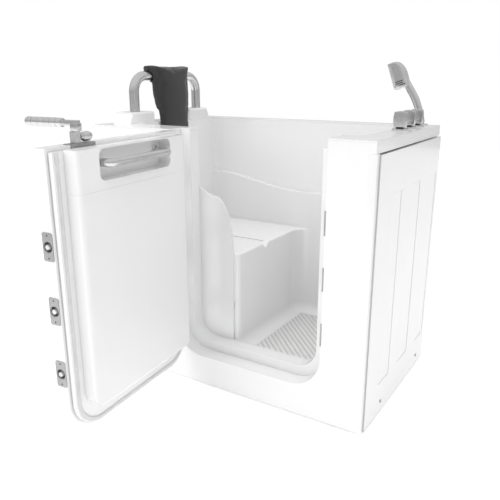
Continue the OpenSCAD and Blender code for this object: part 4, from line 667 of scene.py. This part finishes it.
class BATH_OT_mouldings(bpy.types.Operator):
    """Round the lever's arm and carry the front round its right corner"""

    bl_idname = "bath.mouldings"
    bl_label = "Arm and corner"

    def execute(self, context):
        sizes = context.scene.bath_sizes
        arm = merged_copy("lever_arm", "lever_arm_soft")
        bevelled(arm, sizes.metal_edge, angle=35.0)
        dressed(arm, "Chrome", "lever_arm")
        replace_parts(arm, "lever_arm")
        self.corner(sizes)
        return {"FINISHED"}

    def corner(self, sizes):
        """Carries the front round the corner, with a strip of painted shade in the side panel's seam behind it."""
        panel = merged_copy("side_panel", "side_panel_form")
        low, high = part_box("side_panel")
        deck_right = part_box("deck")[1].x
        behind = sizes.corner_return + sizes.panel_seam
        for vertex in panel.data.vertices:
            if vertex.co.y < low.y + sizes.panel_sheet * 1.2:
                vertex.co.y += behind
            if high.x - sizes.panel_sheet < vertex.co.x < high.x - 0.001:
                vertex.co.x += sizes.bay_ease
        finished(panel, "Gloss acrylic", "side_panel")
        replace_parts(panel, "side_panel")
        strip_end = Vector(((deck_right + high.x) / 2, low.y + sizes.corner_return,
                            high.z + sizes.panel_sheet))
        strip = box_mesh("corner_strip", (low.x - 2 * sizes.panel_sheet, low.y - HAIR / 2, low.z),
                         strip_end, cuts=1)
        bevelled(strip, sizes.panel_seam * 0.75, segments=3)
        finished(strip, "Gloss acrylic", "front_shell")
        # The seam box is painted shade: darker acrylic filling the gap between the front's return and the side
        # panel.
        seam = box_mesh("corner_seam", (deck_right - sizes.panel_sheet, low.y + sizes.corner_return, low.z),
                        (high.x - HAIR, low.y + behind - HAIR / 2, high.z), cuts=1)
        bevelled(seam, HAIR)
        finished(seam, "Shade-painted acrylic", "side_panel")


class BATH_OT_handles(bpy.types.Operator):
    """Shape the three tap handles as pillows on short necks, whose dark finish is painted shade under each handle
    """

    bl_idname = "bath.handles"
    bl_label = "Tap handles"

    def execute(self, context):
        sizes = context.scene.bath_sizes
        for name in HANDLES:
            low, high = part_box(name)
            middle = (low + high) / 2
            thin = (high.y - low.y) / 3
            block = box_mesh(name + "_block", (low.x, middle.y - thin, low.z + sizes.handle_neck),
                             (high.x, middle.y + thin, high.z), cuts=7)
            self.pillow(block, sizes)
            bevelled(block, sizes.handle_edge, segments=3, angle=50.0)
            block.name = name + "_pillow"
            finished(block, "Chrome", name, 40.0)
            reach = (high.x - low.x) / 4
            neck = box_mesh(name + "_neck", (middle.x - reach, middle.y - thin * NECK_SHARE, low.z),
                            (middle.x + reach, middle.y + thin * NECK_SHARE, low.z + 2 * sizes.handle_neck))
            # The dark neck is painted shade of the gap between the handle and its escutcheon.
            finished(neck, "Dark plastic and painted shade", name)
            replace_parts(block, name)
        return {"FINISHED"}

    def pillow(self, block, sizes):
        """Draws the block in towards its top and foot."""
        low, high = corners_of([v.co for v in block.data.vertices])
        middle, half = (low + high) / 2, (high - low) / 2
        for vertex in block.data.vertices:
            away = (vertex.co.z - middle.z) / half.z
            share = 1 - sizes.handle_bulge * away * away
            side = (vertex.co.x - middle.x) / half.x
            if away > 0:
                vertex.co.z -= sizes.handle_crown * away * side * side
            vertex.co.x = middle.x + (vertex.co.x - middle.x) * share
            vertex.co.y = middle.y + (vertex.co.y - middle.y) * share


class BATH_OT_shower_slots(bpy.types.Operator):
    """Set the three dark slots into the side of the hand shower's head"""

    bl_idname = "bath.shower_slots"
    bl_label = "Shower slots"

    def execute(self, context):
        sizes = context.scene.bath_sizes
        foot, top, half_width = HEAD_ROWS[4][1:]
        bars = []
        for along, left, right in HEAD_SLOTS:
            share = abs(2 * along - top - foot) / (top - foot)
            side = half_width * (1 - share ** HEAD_SQUARENESS) ** (1 / HEAD_SQUARENESS)
            bar = box_mesh("shower_slot", (left, -side - PROUD, along - sizes.slot_width / 2),
                           (right, -side + SLOT_DEPTH, along + sizes.slot_width / 2), cuts=1)
            bevelled(bar, 0.75 * HAIR)
            bar.data.transform(HEAD_TURN)
            bars.append(bar)
        finished(joined(bars, "shower_slots"), "Dark plastic and painted shade", "hand_shower")
        return {"FINISHED"}


class BATH_OT_hand_shower(bpy.types.Operator):
    """Shape the hand shower as one flowing form from its spigot to the head's crown"""

    bl_idname = "bath.hand_shower"
    bl_label = "Hand shower"

    def execute(self, context):
        mouth = Vector(WAND_MOUTH)
        line = [mouth + Vector((forward, 0, up)) for forward, up, half in WAND_ROWS]
        halves = [half for forward, up, half in WAND_ROWS]
        wand = swept("wand", line, halves, BACKWARD, WAND_WIDTH, WAND_SQUARENESS)
        sections = [(Vector((depth, 0, (foot + top) / 2)), Vector((0, 0, (top - foot) / 2)),
                     Vector((0, half, 0)), HEAD_SQUARENESS) for depth, foot, top, half in HEAD_ROWS]
        head = lofted("head", sections, around=96)
        head.data.transform(HEAD_TURN)
        shower = joined([head, wand], "hand_shower_form")
        finished(shower, "Chrome", "hand_shower", 35.0)
        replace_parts(shower, "hand_shower")
        seams = [self.seam(line, halves, *where) for where in SEAM_LINES]
        finished(joined(seams, "wand_seams"), "Dark plastic and painted shade", "hand_shower")
        return {"FINISHED"}

    def seam(self, line, halves, first, last, share):
        """A dark parting line along the wand's near side."""
        points = []
        for i in range(first, last):
            ahead = (line[i + 1] - line[i - 1]).normalized()
            across = ahead.cross(BACKWARD)
            if across.x > 0:
                across = -across
            nearer = (1 - abs(share) ** WAND_SQUARENESS) ** (1 / WAND_SQUARENESS)
            points.append(line[i] - across * halves[i] * share
                          - Vector((0, halves[i] * WAND_WIDTH * nearer, 0)))
        return swept("seam", points, [PROUD] * len(points), BACKWARD, around=8)


class BATH_OT_grab_bar(bpy.types.Operator):
    """Bend the grab bar back to its rosettes at both ends"""

    bl_idname = "bath.grab_bar"
    bl_label = "Grab bar"

    def execute(self, context):
        sizes = context.scene.bath_sizes
        low, high = closed_box("grab_bar")
        foot_low, foot_high = closed_box("bar_posts")
        radius = (high.z - low.z) / 2
        deep, height = (low.y + high.y) / 2, (low.z + high.z) / 2
        ends = foot_low.x + sizes.post_foot, foot_high.x - sizes.post_foot
        points = self.half_bend(ends[0], foot_low.y, deep, height, sizes.bar_bend)
        points += [Vector((ends[0] + ends[1] - p.x, p.y, p.z)) for p in reversed(points)]
        pieces = [swept("bar", points, [radius] * len(points), UP)]
        pieces += [self.rosette(Vector((x, foot_low.y, height)), sizes.bar_foot) for x in ends]
        bar = on_door(pieces, "grab_bar_bent", "Chrome", "grab_bar")
        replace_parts(bar, "grab_bar", "bar_posts")
        return {"FINISHED"}

    def half_bend(self, x, floor, deep, height, bend):
        """Points from the recess floor out and round one bend."""
        points = [Vector((x, floor, height)), Vector((x, deep - bend - 0.001, height))]
        for step in range(9):
            turn = math.radians(90 * step / 8)
            aside, back = bend * (1 - math.cos(turn)), bend * (1 - math.sin(turn))
            points.append(Vector((x + aside, deep - back, height)))
        return points

    def rosette(self, foot, radius):
        """A flat round foot with a soft edge."""
        steps = ((0, 1), (0.0028, 1), (0.004, 0.93), (0.0045, 0.8))
        points = [foot + Vector((0, away, 0)) for away, share in steps]
        return swept("rosette", points, [radius * share for away, share in steps], UP)


class BATH_OT_lever(bpy.types.Operator):
    """Shape the lever's square stem, its ringed grip and the friction knob"""

    bl_idname = "bath.lever"
    bl_label = "Lever"

    def execute(self, context):
        sizes = context.scene.bath_sizes
        pivot = closed_points([Vector(JOINTS["lever_turn"]["pos_m"])])[0]
        arm_low, arm_high = closed_box("lever_arm")
        grip_low, grip_high = closed_box("lever_grip")
        bearing_low, bearing_high = closed_box("lever_bearing")
        height = (grip_low.z + grip_high.z) / 2
        stem = box_mesh("stem", (arm_low.x, arm_high.y - (arm_high.x - arm_low.x), bearing_high.z + 0.0005),
                        (arm_high.x, arm_high.y, height), cuts=1)
        bevelled(stem, sizes.metal_edge)
        on_door([stem], "lever_stem", "Chrome", "lever_arm")
        start = Vector((pivot.x, pivot.y - sizes.grip_start, height))
        grip = self.grip(start, (grip_high.z - grip_low.z) / 2, sizes)
        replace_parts(on_door([grip], "lever_grip_form", "Chrome", "lever_grip"), "lever_grip")
        knob = self.knob(bearing_low.x - HAIR, closed_box("friction_knob"))
        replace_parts(on_door([knob], "friction_knob_form", "Chrome", "friction_knob"),
                    "friction_knob")
        return {"FINISHED"}

    def grip(self, start, radius, sizes):
        """The grip: a plain collar, a groove and shallow rings, with a rounded end."""
        collar = sizes.grip_reach / 8
        rows = [(0, 0.76), (0.0012, 0.95), (collar - 0.0005, 0.98), (collar, 0.84), (collar + 0.003, 0.84)]
        pitch = (sizes.grip_reach - collar - 0.003) / sizes.grip_rings
        for ring in range(sizes.grip_rings):
            first = collar + 0.003 + ring * pitch
            rows += [(first + 0.0006, 0.95), (first + pitch / 4, 0.995), (first + pitch * 3 / 4, 0.995),
                     (first + pitch - 0.0012, 0.95), (first + pitch - 0.0004, 0.9)]
        rows[-2:] = [(sizes.grip_reach - 0.002, 0.88), (sizes.grip_reach, 0.66)]
        points = [start - Vector((0, along, 0)) for along, share in rows]
        return swept("grip", points, [radius * share for along, share in rows], UP, around=40)

    def knob(self, face, box):
        """The domed knob on its neck, with shallow flutes."""
        low, high = box
        length, radius = face - low.x, (high.z - low.z) / 2
        middle = (low + high) / 2
        points = [Vector((face - length * share, middle.y, middle.z)) for share, wide in KNOB_SHARES]
        halves = [radius * wide for share, wide in KNOB_SHARES]
        return swept("knob", points, halves, UP, around=72, ripples=12, ripple_share=0.02)


class BATH_OT_screw_marks(bpy.types.Operator):
    """Press a dark cross into the heads of the latch plates' screws, as painted shade of their cross recesses"""

    bl_idname = "bath.screw_marks"
    bl_label = "Screw marks"

    def execute(self, context):
        sizes = context.scene.bath_sizes
        screws = merged_copy("latch_screws", "screw_places")
        half, thin, deep = sizes.mark_length / 2, sizes.mark_length / 7, HAIR / 2
        bars = []
        for island in islands_of(screws):
            low, high = corners_of(closed_points(island))
            head = Vector((high.x, (low.y + high.y) / 2, (low.z + high.z) / 2))
            for wide, tall in ((half, thin), (thin, half)):
                reach = Vector((deep, wide, tall))
                bars.append(box_mesh("mark", head - reach, head + reach))
        bpy.data.objects.remove(screws)
        # The crosses are painted shade of the screws' recesses.
        on_door(bars, "screw_marks", "Dark plastic and painted shade", "latch_screws")
        return {"FINISHED"}


class BATH_OT_headrest(bpy.types.Operator):
    """Fill the headrest's vinyl cover and let it swell a little round the rail"""

    bl_idname = "bath.headrest"
    bl_label = "Headrest"

    def execute(self, context):
        sizes = context.scene.bath_sizes
        pad = merged_copy("headrest", "headrest_pad")
        apply_modifier(pad, "REMESH", mode="VOXEL", voxel_size=sizes.pad_voxel)
        self.wedge(pad, sizes)
        apply_modifier(pad, "DISPLACE", strength=-sizes.pad_shrink, mid_level=0.0)
        start = [v.co.copy() for v in pad.data.vertices]
        self.fill(context, pad, sizes)
        self.hold(pad, start, sizes)
        apply_modifier(pad, "SUBSURF", levels=1, render_levels=1)
        select_only(pad)
        bpy.ops.object.shade_smooth()
        pad.data.materials.clear()
        pad.data.materials.append(bpy.data.materials["Headrest vinyl"])
        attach(pad, BODY_OF["headrest"])
        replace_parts(pad, "headrest")
        return {"FINISHED"}

    def wedge(self, pad, sizes):
        """Slants the pad's back down from the rail to the deck, and widens its foot."""
        rail_low, rail_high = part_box("head_rail")
        eaves = rail_high.z - (rail_high.x - rail_low.x)
        rail_x = (rail_low.x + rail_high.x) / 2
        low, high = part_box("headrest")
        deck_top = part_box("deck")[1].z
        points = [v.co for v in pad.data.vertices if v.co.x > rail_x]
        foot, head = (span_along([p for p in points if abs(p.z - z) < sizes.pad_voxel], SIDEWAYS)
                      for z in (deck_top, eaves - sizes.pad_voxel))
        for vertex in pad.data.vertices:
            share = (high.z - vertex.co.z) / (high.z - low.z)
            vertex.co.y += (vertex.co.y - (low.y + high.y) / 2) * sizes.pad_widen * share
            rise = (vertex.co.z - deck_top) / (eaves - deck_top)
            if sizes.pad_step < rise < 1 and vertex.co.x > rail_x:
                back, front = (foot[i] + (head[i] - foot[i]) * rise for i in range(2))
                depth = max(0.0, min(1.0, 1 - (vertex.co.x - back) / (front - back) / sizes.pad_rear))
                slant = (rise - sizes.pad_step) / (1 - sizes.pad_step)
                vertex.co.x -= sizes.pad_wedge * (WEDGE_START + (1 - WEDGE_START) * slant) * depth

    def fill(self, context, pad, sizes):
        """Blows the cover up with Blender's cloth and keeps the last frame."""
        select_only(pad)
        bpy.ops.object.modifier_add(type="CLOTH")
        cloth = pad.modifiers[-1]
        cloth.settings.use_pressure = True
        cloth.settings.uniform_pressure_force = sizes.pad_pressure
        cloth.settings.effector_weights.gravity = 0.0
        cloth.settings.quality = 5
        for step in range(1, FILL_FRAMES + 1):
            context.scene.frame_set(step)
        bpy.ops.object.modifier_apply(modifier=cloth.name)

    def hold(self, pad, start, sizes):
        """Keeps each point near its start, off the rail and off the back rest."""
        rail_low, rail_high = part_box("head_rail")
        rail_radius = (rail_high.x - rail_low.x) / 2
        rail = Vector(((rail_low.x + rail_high.x) / 2, rail_high.z - rail_radius))
        deck_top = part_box("deck")[1].z
        for vertex, was in zip(pad.data.vertices, start):
            moved = vertex.co - was
            if moved.length > sizes.pad_swell:
                vertex.co = was + moved.normalized() * sizes.pad_swell
            if was.z < deck_top:
                vertex.co.x = max(vertex.co.x, was.x)
            away = Vector((vertex.co.x, vertex.co.z)) - rail
            if away.length < sizes.pad_clear:
                away = away.normalized() * sizes.pad_clear
                vertex.co.x, vertex.co.z = rail + away


class BATH_OT_floor_grip(bpy.types.Operator):
    """Round the foot well's bars and set rows of small dots on them"""

    bl_idname = "bath.floor_grip"
    bl_label = "Floor grip"

    def execute(self, context):
        sizes = context.scene.bath_sizes
        bars = merged_copy("grip_bars", "grip_bars_soft")
        islands = islands_of(bars)
        gaps = self.gaps(sizes)
        bevelled(bars, sizes.metal_edge / 2, angle=40.0)
        dots = self.dots(islands, sizes)
        for piece in (bars, dots):
            finished(piece, "Gloss acrylic", "grip_bars", 40.0)
        # The strips between the bars are painted shade.
        finished(gaps, "Shade-painted acrylic", "grip_bars")
        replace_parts(bars, "grip_bars")
        return {"FINISHED"}

    def gaps(self, sizes):
        """Thin strips of painted shade that fill the gaps between the bars."""
        strips = merged_copy("grip_bars", "grip_gaps")
        across = Vector((1, 1, 0)).normalized()
        for island in islands_of(strips):
            places = {p.to_tuple(6) for p in island}
            low, high = span_along(island, across)
            floor = min(p.z for p in island)
            for vertex in strips.data.vertices:
                if vertex.co.to_tuple(6) in places:
                    away = vertex.co.dot(across) - (low + high) / 2
                    vertex.co += across * away * sizes.gap_share
                    vertex.co.z = floor + (vertex.co.z - floor) * sizes.gap_height_share
        return strips

    def dots(self, islands, sizes):
        """Rows of low domes along every bar, modelled once and copied."""
        bpy.ops.mesh.primitive_uv_sphere_add(segments=8, ring_count=6, radius=sizes.dot_diameter / 2)
        dome = bpy.context.object
        with editing(dome):
            bpy.ops.mesh.bisect(plane_co=(0, 0, 0), plane_no=(0, 0, 1), clear_inner=True, use_fill=True)
            bpy.ops.mesh.select_all(action="SELECT")
            bpy.ops.transform.resize(value=(1, 1, 2 * sizes.dot_height / sizes.dot_diameter))
        stamp = dome.data
        bpy.data.objects.remove(dome)
        points = [v.co.copy() for v in stamp.vertices]
        rings = [tuple(face.vertices) for face in stamp.polygons]
        all_points, all_faces = [], []
        for place in self.dot_places(islands, sizes):
            first = len(all_points)
            all_points += [point + place for point in points]
            all_faces += [tuple(first + corner for corner in ring) for ring in rings]
        shape = bpy.data.meshes.new("grip_dots")
        shape.from_pydata(all_points, [], all_faces)
        return placed("grip_dots", shape)

    def dot_places(self, islands, sizes):
        """Where the dots stand: rows along every bar."""
        along, across = Vector((1, -1, 0)).normalized(), Vector((1, 1, 0)).normalized()
        if max(self.reach(islands, along)) < max(self.reach(islands, across)):
            along, across = across, along
        places = []
        for island in islands:
            top = max(p.z for p in island)
            low_a, high_a = span_along(island, along)
            low_c, high_c = span_along(island, across)
            margin = (high_c - low_c) * 0.6
            count = int((high_a - low_a - 2 * margin) / sizes.dot_pitch)
            for row in range(sizes.dot_rows):
                side = low_c + (high_c - low_c) * (row + 0.5) / sizes.dot_rows
                for step in range(max(0, count) + 1):
                    where = along * (low_a + margin + step * sizes.dot_pitch) + across * side
                    places.append(Vector((where.x, where.y, top)))
        return places

    def reach(self, islands, way):
        """How long each bar is in a direction."""
        return [high - low for low, high in (span_along(island, way) for island in islands)]


class BATH_OT_studio(bpy.types.Operator):
    """Set the pale floor, the soft light and the photograph's camera"""

    bl_idname = "bath.studio"
    bl_label = "Studio"

    def execute(self, context):
        scene = context.scene
        scene.view_settings.view_transform = "Standard"
        scene.view_settings.look = "None"
        scene.view_settings.exposure = 0.0
        self.floor()
        self.world(scene)
        for light in LIGHTS:
            self.softbox(*light)
        camera = placed("Camera", bpy.data.cameras.new("Camera"))
        camera.location = CAMERA_PLACE
        camera.rotation_euler = (math.radians(90 - CAMERA_PITCH), 0, math.radians(CAMERA_TURN))
        camera.data.sensor_width = 36
        camera.data.lens = CAMERA_LENS
        scene.camera = camera
        return {"FINISHED"}

    def floor(self):
        """A wide pale floor under the feet."""
        bpy.ops.mesh.primitive_plane_add(size=16, location=(0, 0, 0))
        floor = bpy.context.object
        floor.name = "studio_floor"
        floor.data.materials.append(material(
            "Studio floor", Roughness=0.6, Emission_Strength=0.35, Base_Color=(0.92, 0.92, 0.92, 1),
            Emission_Color=(1, 1, 1, 1))[0])

    def world(self, scene):
        """White behind the object, and a soft sky that darkens low down for the metal to reflect."""
        scene.world = bpy.data.worlds.new("Studio")
        scene.world.use_nodes = True
        tree = scene.world.node_tree
        tree.nodes.clear()
        place = node(tree, "TexCoord")
        split = node(tree, "SeparateXYZ")
        rise = node(tree, "MapRange", in_From_Min=-0.15, in_From_Max=0.55, in_To_Min=0.45)
        sky = node(tree, "Background")
        white = node(tree, "Background", in_Strength=1.0, in_Color=(1, 1, 1, 1))
        path = node(tree, "LightPath")
        mix = node(tree, "MixShader")
        out = node(tree, "OutputWorld")
        wire(place, "Generated", split, 0)
        wire(split, "Z", rise, "Value")
        wire(rise, "Result", sky, "Strength")
        wire(path, "Is Camera Ray", mix, 0)
        wire(sky, 0, mix, 1)
        wire(white, 0, mix, 2)
        wire(mix, 0, out, "Surface")

    def softbox(self, name, place, target, size, power):
        """A square area light turned to a target."""
        data = bpy.data.lights.new(name, "AREA")
        data.size = size
        data.energy = power
        light = placed(name, data)
        light.location = place
        light.visible_glossy = False
        light.rotation_euler = (Vector(target) - Vector(place)).to_track_quat("-Z", "Y").to_euler()


class BATH_PT_panel(bpy.types.Panel):
    """Lists the dressing's steps, sizes and colours"""

    bl_label = "Bath dressing"
    bl_idname = "BATH_PT_panel"
    bl_space_type = "VIEW_3D"
    bl_region_type = "UI"
    bl_category = "Bath"

    def draw(self, context):
        column = self.layout.column()
        for step in STEPS:
            column.operator(step.bl_idname)
        for group in (context.scene.bath_sizes, context.scene.bath_colours):
            for name in group.__annotations__:
                column.prop(group, name)


STEPS = (BATH_OT_finishes, BATH_OT_mouldings, BATH_OT_handles, BATH_OT_hand_shower, BATH_OT_shower_slots,
         BATH_OT_grab_bar, BATH_OT_lever, BATH_OT_screw_marks, BATH_OT_headrest, BATH_OT_floor_grip,
         BATH_OT_studio)
CLASSES = (BathSizes, BathColours) + STEPS + (BATH_PT_panel,)


def register():
    """Adds the classes and the two groups of settings."""
    for made in CLASSES:
        bpy.utils.register_class(made)
    bpy.types.Scene.bath_sizes = PointerProperty(type=BathSizes)
    bpy.types.Scene.bath_colours = PointerProperty(type=BathColours)


def unregister():
    """Takes the settings and the classes away again."""
    del bpy.types.Scene.bath_colours
    del bpy.types.Scene.bath_sizes
    for made in reversed(CLASSES):
        bpy.utils.unregister_class(made)


def main():
    """Runs every step in order."""
    register()
    for step in STEPS:
        group, name = step.bl_idname.split(".")
        getattr(getattr(bpy.ops, group), name)()


if __name__ == "__main__":
    main()
